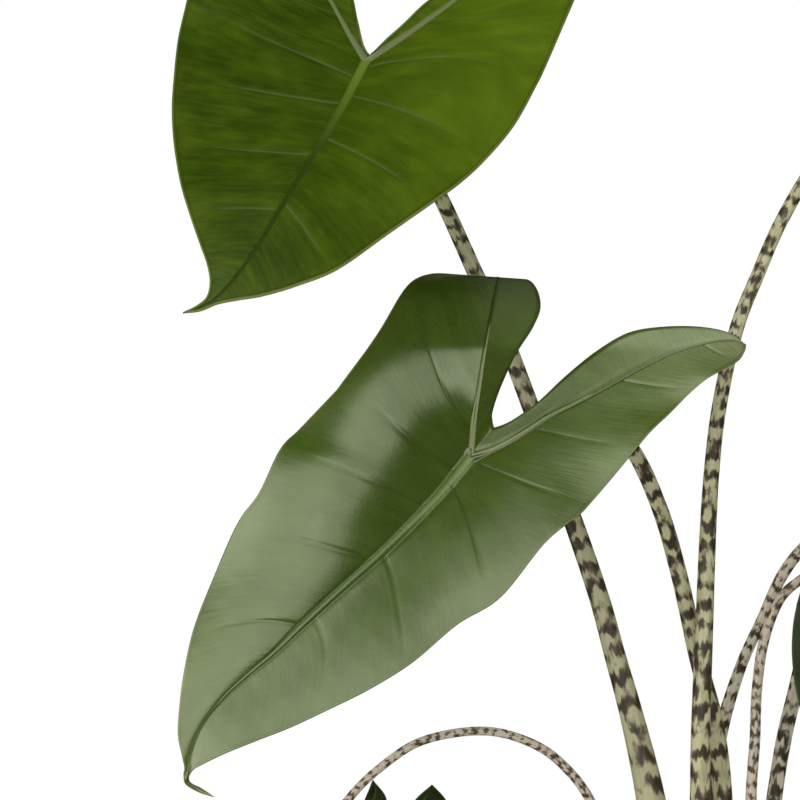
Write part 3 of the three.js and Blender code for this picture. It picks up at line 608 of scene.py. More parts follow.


# %% [markdown]
# ## Side veins
#
# Side veins leave a rib at an angle and bend towards the tip. On the two leaves in the picture
# each one is drawn as a short line of points in mm, and the mesh's rows are pulled
# over so that a row lies on every vein. Then the groove of a vein can be narrow and clean,
# and the fine lines between the veins bend with them. Other leaves have a vein at every
# second row of their table.

# %% Veins drawn as lines of points
VEINS = {
    ("front_left", 1): [
        [(-119.5, 420.5), (-128.5, 437.5), (-133.5, 449), (-138.5, 457.5), (-142.5, 480)],
        [(-128.5, 401.5), (-140, 409.5), (-151.5, 419.5), (-164, 432), (-174.5, 443)],
        [(-143.5, 383.5), (-157.5, 390), (-177, 398.5), (-196, 405.5), (-203.5, 407.5)],
        [(-170.5, 355.5), (-183, 359.5), (-208.5, 365.5), (-225.5, 368.5)],
        [(-205, 323), (-224.5, 324.5), (-240.5, 322.5), (-247.5, 320)],
    ],
    ("front_left", 2): [
        [(-113, 403), (-98, 396.5), (-78.5, 390), (-71.5, 387.5)],
        [(-126.5, 392), (-118, 373.5), (-113.5, 354.5)],
        [(-161.5, 358), (-156, 344), (-154.5, 335.5)],
        [(-197, 326), (-191, 314), (-191.5, 295.5)],
    ],
    ("upper_left", 1): [
        [(-175, 596), (-207.5, 610), (-240, 625)],
        [(-184, 583), (-227.5, 590), (-252.5, 595)],
        [(-197.5, 557.5), (-232.5, 560), (-255, 562.5)],
        [(-215, 530), (-245, 530), (-256, 529)],
    ],
    ("upper_left", 2): [
        [(-166.5, 602), (-137.5, 606), (-95, 594)],
        [(-175.5, 586.5), (-152.5, 580), (-117.5, 562.5)],
        [(-188.5, 565), (-167.5, 555), (-142.5, 537.5)],
        [(-210, 532.5), (-200, 520), (-193.5, 510)],
    ],
}
LOBE_VEINS = {("front_left", 1): (-5.2,), ("front_left", 2): (-2.4, -5.2, -7.8),
              ("upper_left", 1): (-2.6, -5.2), ("upper_left", 2): (-2.6, -5.2)}


def vein_curves(name, half, at, low, high):
    """Each vein as [row at the rib, function of t that gives its row, strength]."""
    s, t = np.meshgrid(np.linspace(low, high, 900), np.linspace(0, 1, 80), indexing="ij")
    u, v = at(s, t)[:2]
    curves = []
    for line in VEINS.get((name, half), []):
        near = [np.argmin((u - x) ** 2 + (v - y) ** 2) for x, y in line]
        found_t, found_s = t.ravel()[near], s.ravel()[near]
        fit = np.polyfit(found_t, found_s, min(2, len(line) - 1))
        end = found_t.max()
        slope = 0.6 * np.polyval(np.polyder(fit), end)
        start = float(np.polyval(fit, 0))
        bend = lambda x, f=fit, e=end, g=slope: (
            np.polyval(f, np.minimum(x, e)) + g * np.maximum(x - e, 0))
        curves.append([start, bend, 1.0])
    every_second = range(2 * math.ceil(low / 2) + 2, int(high) - 1, 2)
    for start in LOBE_VEINS.get((name, half), every_second):
        curves.append([start, lambda x, k=start: k + 0 * x, 0.6])
    return sorted([c for c in curves if low + 0.4 < c[0] < high - 0.4], key=lambda c: c[0])


def pull_rows(rows, columns, curves, low, high):
    """Row numbers of a grid with its rows pulled over the veins."""
    at_rib = [low] + [c[0] for c in curves] + [high]
    out = np.empty((len(rows), len(columns)))
    for j, t in enumerate(columns):
        here = [low] + [float(c[1](t)) for c in curves] + [high]
        here = np.maximum.accumulate(np.clip(here, low, high)) + 1e-6 * np.arange(len(here))
        out[:, j] = np.interp(rows, at_rib, here)
    return out


# %% [markdown]
# ## Relief and lines of a blade
#
# From the rib outwards a blade has a raised bead with a groove on each side. Side veins lie in
# narrow grooves at the bottom of shallow valleys, and the blade swells and sinks a little all
# over. All of it is a few tenths of a millimetre up to a millimetre, which is enough to break
# up the sheen. The same distances are kept on the mesh as attributes, so a finish can draw
# the lines.

# %% Relief
WAVES = ((0.9, 0.35, 47, 0.5), (-0.5, 0.8, 37, 2.1), (0.3, -0.95, 29, 4.0), (0.7, 0.7, 13, 1.2))
WAVE_SHARE = 0.12 / 60
VEIN_LINE, VEIN_GROOVE, VEIN_VALLEY = 0.45, 0.75, 4
ROW_MM = 13


def waviness(u, v):
    """Slow waves of a living blade, from a few crossing sines."""
    total = 0
    for a, b, length, phase in WAVES:
        total = total + length * np.sin((a * u + b * v) * 2 * np.pi / length + phase)
    return WAVE_SHARE * total


def patch_data(leaf, at, rows_at, columns, nominal, curves, reach, strip=False):
    """Places of a patch, its lines and its sheet coordinates; strip is True inside a lobe."""
    t = np.broadcast_to(columns[None, :], rows_at.shape)
    u, v, e, wide = at(rows_at, t)
    du = np.gradient(u, nominal, axis=0), np.gradient(v, nominal, axis=0)
    dt = np.gradient(u, columns, axis=1), np.gradient(v, columns, axis=1)
    cross = np.abs(du[0] * dt[1] - du[1] * dt[0])
    metric = cross / np.maximum(np.hypot(*dt), 1e-6)
    q = np.clip(np.abs(nominal[:, None]) / reach, 0, 1)
    on_lobe = (nominal[:, None] < 0) | strip
    slim = np.where(on_lobe, 1 - (1 - leaf.get("lobe_bead", 1)) * ease(0, 0.1, q), 1)
    bead = leaf["bead"] * (1 - 0.85 * q) * slim
    out = t * wide
    away = ease(0.6, 2.2, out / bead) * ease(0, 1.5, (1 - t) * wide)
    line, groove = np.zeros_like(u), np.zeros_like(u)
    for start, _, strength in curves:
        d = np.abs(nominal[:, None] - start) * metric
        fade = strength * (1 - 0.4 * t) * ease(0.95, 0.5, t)
        line = np.maximum(line, fade * np.exp(-(d / VEIN_LINE) ** 2))
        groove = np.minimum(groove, -fade * (0.45 * np.exp(-(d / VEIN_GROOVE) ** 2)
                                             + 0.16 * np.exp(-(d / VEIN_VALLEY) ** 2)))
    ridge = bead * (0.42 * np.exp(-(out / (0.72 * bead)) ** 2)
                    - 0.28 * np.exp(-((out - 1.45 * bead) / (0.5 * bead)) ** 2))
    ridge = ridge * ease(1.0, 0.85, q)
    lift = 1.0 if "hang" in leaf else math.hypot(1, leaf["lean"][3])
    e = e + lift * (ridge + (groove + waviness(u, v)) * away)
    lines = np.stack([line * away, ease(1.25, 0.8, out / bead) + 0 * u,
                      ease(2.0, 0.4, (1 - t) * wide)], -1)
    along = np.where(on_lobe, -q, q)
    sheet = np.stack([nominal[:, None] * ROW_MM + 0 * u, out, along + 0 * u], -1)
    return placer(leaf)(u, v, e), lines, sheet


def row_numbers(low, high, step, veins):
    """Even rows with more beside each vein; 0 and both ends are always among them."""
    rows = set(np.round(np.arange(low, high, step), 4)) | {float(low), 0.0, float(high)}
    fixed = {float(low), 0.0, float(high)} | {round(v, 4) for v in veins}
    rows |= fixed | {round(v + k, 4) for v in veins for k in (-0.13, -0.065, 0.065, 0.13)}
    kept = sorted(r for r in rows if low <= r <= high)
    clear = [r for r in kept if r in fixed or min(abs(r - f) for f in fixed) > 0.03]
    return np.array([r for i, r in enumerate(clear)
                     if r in fixed or i == 0 or r - clear[i - 1] > 0.02])


# %% [markdown]
# The four grids are welded where they meet: both halves share the midrib's rows, and each lobe
# shares its rib with its inner strip. A Solidify modifier then gives the sheet its thickness,
# with a paler underside and a thin rim as materials of their own.

# %% Blade builder
NEAR_RIB = [0, 0.009, 0.018, 0.028, 0.04, 0.054, 0.07, 0.09, 0.112]
LOBE_STRIP = np.array([0, 0.07, 0.16, 0.28, 0.42, 0.58, 0.74, 0.88, 1])
BLADE_THICK = 0.0009


def blade_piece(name, finishes, step, spare):
    """Build a leaf's blade from four welded grids."""
    leaf = LEAVES[name]
    sheet = leaf["sheet"]
    tip = len(sheet["midrib"]) - 1
    lobes = {1: len(sheet["left"]) - 1, 2: len(sheet["right"]) - 1}
    columns = np.concatenate([NEAR_RIB, np.linspace(0.14, 0.955, spare), [0.978, 0.99, 1]])
    halves = {k: half_of(leaf, k) for k in (1, 2)}
    curves = {k: vein_curves(name, k, halves[k], -lobes[k], tip) for k in (1, 2)}
    shared = row_numbers(0, tip, step, [c[0] for k in (1, 2) for c in curves[k] if c[0] > 0])
    bm = bmesh.new()
    for k in (1, 2):
        own = row_numbers(-lobes[k], 0, step, [c[0] for c in curves[k] if c[0] < 0])
        rows = np.concatenate([own[:-1], shared])
        rows_at = pull_rows(rows, columns, curves[k], -lobes[k], tip)
        reach = np.where(rows < 0, lobes[k], tip)[:, None]
        place, lines, flat = patch_data(leaf, halves[k], rows_at, columns, rows, curves[k], reach)
        lay_patch(bm, place, lines=lines, sheet=flat)
        inner = side_of(leaf, sheet["left" if k == 1 else "right"], 2, True, k)
        inside = np.repeat(-own[:, None], len(LOBE_STRIP), 1)
        place, lines, flat = patch_data(leaf, inner, inside, LOBE_STRIP, own, [], lobes[k], True)
        lay_patch(bm, place, lines=lines, sheet=flat)
    bmesh.ops.remove_doubles(bm, verts=bm.verts, dist=0.00003)
    bmesh.ops.recalc_face_normals(bm, faces=bm.faces)
    way = sum((f.normal * f.calc_area() for f in bm.faces), Vector())
    if (way.z if "hang" in leaf else -way.y) < 0:
        bmesh.ops.reverse_faces(bm, faces=bm.faces)
    piece = make_piece(bm, name + "_leaf", finishes, name + "_blade")
    thick = piece.modifiers.new("thickness", "SOLIDIFY")
    thick.thickness = BLADE_THICK
    thick.offset = 0
    thick.material_offset = 1
    thick.material_offset_rim = 2


# %% [markdown]
# ## Leaf finish
#
# The skin is deep green under a waxy gloss: the grey-green look of the front leaf is mostly the
# panels mirrored in it, and partly a pale painted sheen that may lie over a leaf towards its
# tips, so the colour itself stays dark and a little yellow. Painted light can turn a blade a
# fresher green towards the right. Fine streaks run with the veins. Veins and ribs are lighter
# or darker than the skin, and the margin ends in a dark and then a pale line. The two low
# leaves have a much darker copy of the skin, which is painted shade. The three leaves outside
# the picture have a fresh green of their own.

# %% Leaf finishes
# A pale grey-green laid over blades as painted sheen.
PAINTED_SHEEN = (0.17, 0.19, 0.1)
SHEEN_TINT = (0.91, 1.0, 0.72, 1)


def leaf_skin(name, deep, fresh, vein, rib, rib_near, lobe_rib, rim, gloss, shine,
              painted_light_span, painted_sheen):
    """The upper side of a blade; painted light makes it a fresher green over a span of x, in
    metres.
    """
    finish = new_finish(name, gloss, *shine)
    skin.inputs["Specular Tint"].default_value = SHEEN_TINT
    lines = parts_of(attribute("lines"))
    sheet = attribute("sheet")
    along = parts_of(sheet)["Z"]
    on_lobe = calc("LESS_THAN", along, 0.0)
    reach = calc("ABSOLUTE", along)
    where = place_in()
    mottle = cloudy(stretch(sheet, (0.11, 0.035, 0)), 1.0, 4)
    patchy = calc("MULTIPLY", between(mottle, 0.36, 0.74), 0.4)
    # Painted light: the blade turns a fresher green towards the right, over the given span of x.
    mottle_and_painted_light = calc("MULTIPLY_ADD", between(parts_of(where)["X"], *painted_light_span), 0.6, patchy)
    colour = blend(mottle_and_painted_light, deep, fresh)
    stripes = cloudy(stretch(sheet, (0.6, 0.05, 0)), 1.0, 3, 0.6)
    colour = blend(between(stripes, 0.35, 0.7), colour, fresh, 0.2)
    # Painted sheen: a pale grey-green over the blade towards its tips.
    colour = blend(between(reach, 0.35, 1.0), colour, PAINTED_SHEEN, painted_sheen)
    colour = blend(calc("POWER", lines["X"], 1.8), colour, vein, 0.8)
    ribs = blend(on_lobe, blend(between(reach, 0.0, 0.4), rib_near, rib), lobe_rib)
    colour = blend(lines["Y"], colour, ribs)
    colour = blend(between(lines["Z"], 0.0, 0.25), colour, deep, 0.5)
    colour = blend(between(lines["Z"], 0.6, 1.0), colour, rim, 0.6)
    paint(colour, calc("MULTIPLY_ADD", cloudy(where, 60, 3), 0.06, gloss - 0.03))
    under = relief(stripes, 0.0004, 0.3)
    relief(cloudy(where, 380, 3, 0.6), 0.00025, 0.2, under)
    return finish


def leaf_under(name, ground, vein):
    """The matt, paler underside, where the veins stand out."""
    finish = new_finish(name, 0.5, 0.5, 1.45)
    lines = parts_of(attribute("lines"))
    lighter = tuple(1.35 * c for c in ground)
    colour = blend(cloudy(place_in(), 45, 3), ground, lighter)
    drawn = calc("MAXIMUM", calc("MULTIPLY", lines["X"], 1.3, clamp=True), lines["Y"])
    paint(blend(drawn, colour, vein))
    net = cloudy(attribute("sheet"), 0.5, 3)
    relief(calc("MULTIPLY_ADD", drawn, 1.2, net), 0.0006, 0.6)
    return finish


def leaf_rim(name, colour):
    """The thin edge of the sheet."""
    finish = new_finish(name, 0.45, 0.5, 1.45)
    where = place_in()
    darker = tuple(0.6 * c for c in colour)
    paint(blend(cloudy(where, 90, 2), colour, darker))
    relief(cloudy(where, 700, 2), 0.0001, 0.2)
    return finish


green_skin = leaf_skin(
    "leaf_green", (0.017, 0.036, 0.0002), (0.068, 0.112, 0.002), (0.072, 0.1, 0.04),
    (0.02, 0.036, 0.003), (0.085, 0.13, 0.012), (0.11, 0.13, 0.055), (0.12, 0.16, 0.03), 0.3,
    (0.32, 1.5), (-0.21, -0.09), 0.1)
grey_skin = leaf_skin(
    "leaf_grey_green", (0.029, 0.053, 0.0006), (0.062, 0.104, 0.004), (0.022, 0.038, 0.003),
    (0.034, 0.062, 0.004), (0.07, 0.12, 0.008), (0.024, 0.042, 0.003), (0.1, 0.12, 0.02), 0.28,
    (1.0, 1.75), (-0.12, 0.0), 0.5)
# Painted shade: the two low leaves get a much darker copy of the leaf skin.
small_shaded_skin = leaf_skin(
    "leaf_small_painted_shade", (0.008, 0.014, 0.002), (0.015, 0.025, 0.003), (0.022, 0.036, 0.005),
    (0.025, 0.045, 0.004), (0.04, 0.06, 0.01), (0.03, 0.05, 0.01), (0.04, 0.05, 0.01), 0.4,
    (0.3, 1.5), (0.5, 0.6), 0.0)
fresh_skin = leaf_skin(
    "leaf_fresh_green", (0.034, 0.062, 0.0006), (0.066, 0.108, 0.002), (0.1, 0.13, 0.045),
    (0.03, 0.05, 0.004), (0.085, 0.13, 0.012), (0.09, 0.12, 0.04), (0.12, 0.16, 0.03), 0.28,
    (0.6, 1.6), (-0.02, 0.3), 0.1)
under_skin = leaf_under("leaf_underside", (0.085, 0.13, 0.04), (0.19, 0.22, 0.1))
rim_skin = leaf_rim("leaf_rim", (0.16, 0.15, 0.05))

for name, upper_skin, step, spare in (
    ("upper_left", green_skin, 0.085, 26), ("front_left", grey_skin, 0.085, 30),
    ("low_right", small_shaded_skin, 0.16, 12), ("low_left", small_shaded_skin, 0.16, 12),
    ("top_right", fresh_skin, 0.16, 18), ("mid_right", fresh_skin, 0.16, 18),
    ("back_right", fresh_skin, 0.16, 18),
):
    blade_piece(name, [upper_skin, under_skin, rim_skin], step, spare)


# %% [markdown]
# On the underside the midrib and the lobes' ribs stand out as round cords that thin towards
# the tips. Each is a grid rolled into a tube along the rib, half sunk in the blade.

# %% Ribs of the underside
def rib_cords(name):
    leaf = LEAVES[name]
    place = placer(leaf)
    bm = bmesh.new()
    for key, half in (("midrib", 1), ("left", 1), ("right", 2)):
        rows = leaf["sheet"][key]
        at = side_of(leaf, rows, 1, key != "midrib", half)
        s = np.linspace(0, len(rows) - 1.4, 6 * len(rows))
        u, v, e, _ = at(s, np.zeros_like(s))
        middle = place(u, v, e)
        tangent = unit(np.gradient(middle, axis=0))
        lift = place(u, v, e + 1) - middle
        out = unit(lift - (lift * tangent).sum(1, keepdims=True) * tangent)
        aside = np.cross(tangent, out)
        q = s / s[-1]
        radius = leaf["bead"] * 0.75 * (1 - 0.8 * q)
        turn = np.linspace(0, 2 * np.pi, 13)
        ring = (radius[:, None] * np.cos(turn))[..., None] * aside[:, None, :]
        drop = (radius[:, None] * 0.9 * np.sin(turn) - 0.5)[..., None] * out[:, None, :]
        tube = middle[:, None, :] + ring + drop
        lay_patch(bm, tube, lines=0 * tube + [0, 1, 0], sheet=tube)
    close_tube(bm)
    make_piece(bm, name + "_ribs", [under_skin], None)


def close_tube(bm):
    """Weld the seam of tubes, close their ends and turn their faces outwards."""
    bmesh.ops.remove_doubles(bm, verts=bm.verts, dist=0.000005)
    open_edges = [edge for edge in bm.edges if edge.is_boundary]
    bmesh.ops.holes_fill(bm, edges=open_edges, sides=0)
    bmesh.ops.recalc_face_normals(bm, faces=bm.faces)


for name in LEAVES:
    rib_cords(name)

# %% [markdown]
# ## Stalks
#
# A stalk is a long round stem that thins upwards, on a smooth curve from the crown to the
# joint of its leaf. Each row gives the curve's place as the eye sees it, its depth and its
# radius. The grid is rolled into a tube along the curve. Every corner keeps its place on a
# straightened stem of unit radius, so that a pattern can run round it without a seam.

# %% Stalk curves
CROWN_TOP = 134.6
STALKS = {
    "upper_left": [
        (-13, 134.9, -12, 10.4), (-20, 185, -12, 8.6), (-27, 235, -11, 7.3), (-36.5, 277, -8, 5.9),
        (-45, 307.5, -5, 5.3), (-53, 336.5, -2, 5), (-66, 374.5, 4, 4.8), (-87.5, 432.5, 13, 4.4),
        (-102.5, 472.5, 18, 4.2), (-115, 499, 17, 4), (-132, 536, 2, 3.8), (-150.5, 570, -26, 3.7),
    ],
    "front_left": [
        (9.5, 134.9, -1, 7.2), (9.5, 185, -3, 6), (8.5, 240, -5, 5), (4.5, 274, -6, 4.7),
        (-3.8, 307, -7, 4.3), (-12.3, 345, -10, 4.1), (-21.7, 378, -16, 4), (-35, 408, -25, 3.9),
        (-50, 424, -36, 3.9), (-67, 428, -47, 3.8), (-86, 421, -57, 3.7), (-103, 411.5, -68, 3.6),
    ],
    "top_right": [
        (-1, 134.9, -28, 7), (-2.5, 185, -27, 6), (-2.5, 235, -25, 5.1), (-2, 274, -23.5, 4.8),
        (-0.5, 315, -22, 4.5), (1, 358, -20, 4.2), (3, 396, -18, 3.9), (7, 431, -15, 3.7),
        (15.5, 469.5, -12, 3.6), (26, 496.5, -9, 3.4), (39, 526, -6, 3.3), (57.5, 556, -4, 3.2),
        (82, 582, -1, 3.2), (112, 599, 1, 3.2),
    ],
    "mid_right": [
        (-3, 134.9, 17, 6), (-1, 185, 15, 5), (3, 235, 13, 4), (7.5, 267, 11, 3.6),
        (17.5, 300.5, 9, 2.9), (28.5, 325, 7, 2.8), (40, 349.5, 4, 2.9), (56, 367, -5, 2.8),
        (81, 379, -28, 2.8), (113, 379, -63, 2.8),
    ],
    "low_right": [
        (22, 134.9, -18, 4.4), (22.5, 185, -19, 3.4), (23, 235, -19, 2.8), (25, 265.5, -18, 2.7),
        (26, 290.5, -17, 2.6), (29.5, 314.5, -16, 2.6), (37, 334.5, -15, 2.5),
        (47, 344.5, -14, 2.4), (60, 351, -16, 2.3), (74, 349, -23, 2.3),
    ],
    "back_right": [
        (21, 134.9, 10, 6.2), (28, 185, 13, 5), (34.5, 235, 16, 4), (39.5, 265.5, 19, 3.9),
        (45.5, 290.5, 23, 3.8), (53.5, 325, 36, 3.7), (66, 365, 64, 3.5), (82, 396, 102, 3.4),
        (101, 413, 142, 3.3),
    ],
    "low_left": [
        (-30.5, 134.9, 1, 4.4), (-40, 185, -6, 3.2), (-55.5, 231, -14, 2.5), (-72, 253.5, -21, 2.3),
        (-90.5, 265, -28, 2.2), (-113, 269.5, -36, 2.2), (-141.5, 264.5, -45, 2.1),
        (-162, 251.5, -50, 2.1), (-177, 237, -54, 2.1), (-188, 220, -57, 2.1),
    ],
}


# %% Stalk builder
STALK_STEP = 2.0
PATTERN_UNIT = 1.9
STALK_DEPTH = 1.3


def joint_of(leaf):
    """The underside of the blade at the stalk, and the way its upper side faces."""
    place = placer(leaf)
    u, v = (np.array([x], float) for x in leaf["sheet"]["midrib"][0][0])
    zero = np.zeros(1)
    right = (place(u + 3, v, zero) - place(u - 3, v, zero))[0]
    up = (place(u, v + 3, zero) - place(u, v - 3, zero))[0]
    n = unit(np.cross(right, up))
    return place(u, v, zero)[0] - STALK_DEPTH * n, n


def stalk_piece(name, finish, sides):
    """A stem along its row of points; its top is cut flat against the blade."""
    rows = np.array(STALKS[name], float)
    end, n = joint_of(LEAVES[name])
    points = seen(rows[:, 0], rows[:, 1], rows[:, 2])
    points[0, 2] = CROWN_TOP - 1.2
    points = np.vstack([points, end])
    radii = np.append(rows[:, 3], rows[-1, 3] * 1.04)
    curve, width = through(points), through(radii[:, None])
    s = np.linspace(0, len(points) - 1, 1500)
    run = np.append(0, np.cumsum(np.linalg.norm(np.diff(curve(s), axis=0), axis=1)))
    count = int(run[-1] / STALK_STEP)
    s = np.interp(np.linspace(0, run[-1], count), run, s)
    middle, radius = curve(s), width(s)[:, 0]
    tangent = unit(np.gradient(middle, axis=0))
    tangent[0] = (0, 0, 1)
    across = np.empty_like(middle)
    aim = np.array([1.0, 0, 0])
    for i in range(count):
        aim = unit(aim - aim.dot(tangent[i]) * tangent[i])
        across[i] = aim
    other = np.cross(tangent, across)
    turn = np.linspace(0, 2 * np.pi, sides + 1)
    c, z = np.cos(turn), np.sin(turn)
    length = np.linspace(0, run[-1], count)
    phase = np.cumsum((run[-1] / count) / (PATTERN_UNIT * radius))[:, None] + 0 * turn
    ripple = 1 + 0.018 * np.sin(5 * turn + 0.03 * length[:, None]) + 0.012 * np.sin(9 * turn)
    reach = radius[:, None] * ripple
    tube = (middle[:, None] + (reach * c)[..., None] * across[:, None]
            + (reach * z)[..., None] * other[:, None])
    off = ((tube - end) @ n)[..., None]
    slope = (tangent @ n)[:, None, None]
    past = (off > 0) & (length[:, None, None] > run[-1] - 20)
    tube = np.where(past, tube - tangent[:, None] * off / np.maximum(slope, 0.2), tube)
    ones = np.ones_like(phase)
    straight = np.stack([c * ones, z * ones, phase], -1)
    share = (length / run[-1])[:, None, None] + 0 * straight
    bm = bmesh.new()
    lay_patch(bm, tube, stem=straight, share=share)
    close_tube(bm)
    make_piece(bm, name + "_stalk", [finish], name + "_petiole")


# %% [markdown]
# ## Stalk finish
#
# The marks that name the plant are brown blotches on a cream ground. They are nearly as wide
# as the stem, about a stem's width apart, and their edges are drawn out lengthwise into
# jagged streaks. Noise on the straightened stem gives the blotches, and a faint sine along it
# keeps them in rows. Finer noise, stretched along the stem, first shifts the place that is
# looked up, which tears the edges. A blotch is lighter brown at its edge.

# %% Stalk finishes
HALO = (0.1, 0.074, 0.036)
BAND_GAP = 1.9


def stalk_skin(name, ground, second, mark, top, amount, shift):
    """Blotches of mark on a ground that varies to second and, near the blade, to top."""
    finish = new_finish(name, 0.42, 0.5, 1.45)
    stem = attribute("stem")
    parts = parts_of(stem)
    share = parts_of(attribute("share"))["X"]
    move = (shift, 2 * shift, 3 * shift)
    streak = cloudy(stretch(stem, (1.9, 1.9, 0.8), move), 1.0, 1)
    thread = cloudy(stretch(stem, (6, 6, 1.4), move), 1.0, 1)
    lag = calc("MULTIPLY_ADD", streak, 1.5, calc("MULTIPLY", parts["Z"], 1.6))
    lag = calc("MULTIPLY_ADD", thread, 0.18, lag)
    around = [("X", parts["X"]), ("Y", parts["Y"]), ("Z", lag)]
    drawn_out = put("ShaderNodeCombineXYZ", around).outputs[0]
    spots = cloudy(stretch(drawn_out, (1.0, 1.0, 0.72), move), 1.0, 3, 0.5)
    bands = calc("SINE", calc("MULTIPLY", lag, 2 * math.pi / BAND_GAP))
    height = calc("MULTIPLY_ADD", bands, 0.085, spots)
    drawn = between(height, 0.45 - amount, 0.6 - amount)
    edge = between(height, 0.7 - amount, 0.54 - amount)
    tone = cloudy(stretch(stem, (2.2, 2.2, 0.5), move), 1.0, 4, 0.6)
    pale = blend(between(tone, 0.38, 0.75), ground, second)
    pale = blend(between(share, 0.7, 1.0), pale, top)
    inside = blend(tone, mark, tuple(1.7 * c for c in mark))
    inside = blend(edge, inside, HALO, 0.7)
    colour = blend(drawn, pale, inside, between(share, 1.1, 0.85))
    paint(colour, calc("MULTIPLY_ADD", tone, 0.16, 0.36))
    under = relief(thread, 0.0004, 0.35)
    relief(cloudy(place_in(), 1100, 2), 0.00012, 0.4, under)
    return finish


CREAM, BUFF, BROWN = (0.39, 0.37, 0.22), (0.25, 0.25, 0.13), (0.026, 0.018, 0.008)
LEAFY = (0.24, 0.27, 0.1)
ROSE, DUSK = (0.5, 0.45, 0.34), (0.38, 0.32, 0.23)
STRAW, PINK = (0.33, 0.31, 0.185), (0.44, 0.39, 0.3)
broad_skin = stalk_skin("stalk_broad", STRAW, BUFF, BROWN, LEAFY, 0.02, 2.3)
slim_skin = stalk_skin("stalk_slim", CREAM, BUFF, BROWN, LEAFY, 0.022, 4.1)
back_skin = stalk_skin("stalk_back", ROSE, DUSK, BROWN, LEAFY, 0.01, 7.7)
rosy_skin = stalk_skin("stalk_rosy", PINK, DUSK, (0.045, 0.03, 0.018), DUSK, -0.01, 9.2)

for name, finish, sides in (
    ("upper_left", broad_skin, 36), ("front_left", slim_skin, 30), ("top_right", slim_skin, 30),
    ("mid_right", back_skin, 26), ("back_right", back_skin, 26),
    ("low_right", rosy_skin, 22), ("low_left", rosy_skin, 22),
):
    stalk_piece(name, finish, sides)

# %% [markdown]
# ## Pot
#
# A nursery pot is thin blow-moulded plastic: a tapering wall, a wide flat rim band, and
# drain holes round the base. Its section is drawn once as a line of points and spun round
# the axis. The holes are cut with small cylinders.

# %% Pot
def ring_of(profile, steps, name):
    """Spin a section, given as (radius, height) in mm, round the vertical axis."""
    bm = bmesh.new()
    verts = [bm.verts.new((r * MM, 0, z * MM)) for r, z in profile]
    edges = [bm.edges.new(pair) for pair in zip(verts, verts[1:])]
    bmesh.ops.spin(bm, geom=verts + edges, cent=(0, 0, 0), axis=(0, 0, 1), dvec=(0, 0, 0),
                   angle=2 * math.pi, steps=steps, use_merge=True, use_duplicate=False)
    bmesh.ops.remove_doubles(bm, verts=bm.verts, dist=0.00001)
    bmesh.ops.recalc_face_normals(bm, faces=bm.faces)
    # A spin gives its faces in no set order, so they are sorted by their first two corners.
    bm.verts.index_update()
    count = len(bm.verts)
    bm.faces.sort(key=lambda face: count * face.verts[0].index + face.verts[1].index)
    print(name, "spun in", steps, "steps")
    return bm


POT_SECTION = [
    (0, 3), (57.6, 3), (60.2, 3.6), (60.9, 5), (70, 66), (78.6, 129), (80.6, 133.2), (81, 136),
    (81, 148.6), (81.4, 149.6), (82.4, 150), (84, 150), (84.7, 149.7), (85, 149), (85, 147.6),
    (84.3, 146.8), (84.1, 146), (84.1, 136), (84.3, 134.6), (84.2, 132.6), (83.4, 132),
    (81.6, 132), (80.9, 131.6), (80.5, 130.6), (79.6, 124.4), (79.7, 123.6), (79.9, 122.8),
    (79.5, 121.6), (71.2, 64), (63.4, 9.6), (62.9, 6.6), (62.2, 2.4), (61.4, 0.6), (60.2, 0),
    (54, 0), (53, 0.9), (0, 0.9),
]


def pot_skin():
    finish = new_finish("pot_plastic", 0.5, 0.5, 1.5)
    where = place_in()
    scuff = cloudy(stretch(where, (30, 30, 140)), 1.0, 4)
    dust = between(cloudy(where, 14, 5), 0.5, 0.8)
    colour = blend(scuff, (0.012, 0.012, 0.013), (0.022, 0.022, 0.023))
    colour = blend(dust, colour, (0.075, 0.06, 0.045), 0.3)
    paint(colour, calc("MULTIPLY_ADD", scuff, 0.25, 0.36))
    flow = relief(cloudy(where, 26, 2), 0.0006, 0.35)
    relief(cloudy(where, 1500, 2), 0.00008, 0.5, flow)
    return finish


DRAIN_HOLES, DRAIN_RADIUS, DRAIN_CIRCLE = 6, 0.005, 0.042
pot = make_piece(ring_of(POT_SECTION, 128, "pot"), "pot_shell", [pot_skin()], "pot")
drills = bmesh.new()
for i in range(DRAIN_HOLES):
    a = 2 * math.pi * (i + 0.5) / DRAIN_HOLES
    made = bmesh.ops.create_cone(drills, cap_ends=True, segments=24, radius1=DRAIN_RADIUS,
                                 radius2=DRAIN_RADIUS, depth=0.012)["verts"]
    centre = (DRAIN_CIRCLE * math.cos(a), DRAIN_CIRCLE * math.sin(a), 0.001)
    bmesh.ops.translate(drills, verts=made, vec=centre)
drill_mesh = bpy.data.meshes.new("drills")
drills.to_mesh(drill_mesh)
drills.free()
drill = add_object("drills", drill_mesh)
cut = pot.modifiers.new("holes", "BOOLEAN")
cut.operation = "DIFFERENCE"
cut.object = drill
bored = bpy.data.meshes.new_from_object(
    pot.evaluated_get(bpy.context.evaluated_depsgraph_get()))
pot.modifiers.clear()
pot.data = bored
bpy.data.objects.remove(drill)
print("pot faces after the holes:", len(bored.polygons))

# %% [markdown]
# ## Soil
#
# Potting soil is dark, crumbly and uneven. The surface is a spun disc that crowns towards the
# plant, pushed up and down by noise. Seeded crumbs, chips of bark and white perlite lie in
# it. Each is a sphere of few faces, squashed and turned, because there are hundreds.

# %% Soil
random.seed(41)
SOIL_EDGE, SOIL_RUN = 78.4, 39
SOIL_LOW, SOIL_RISE = 130.6, 6


def soil_top(r):
    """Height of the soil at a distance from the axis, in mm."""
    f = min(1, max(0, (SOIL_EDGE - r) / SOIL_RUN))
    return SOIL_LOW + SOIL_RISE * math.sin(f * math.pi / 2)


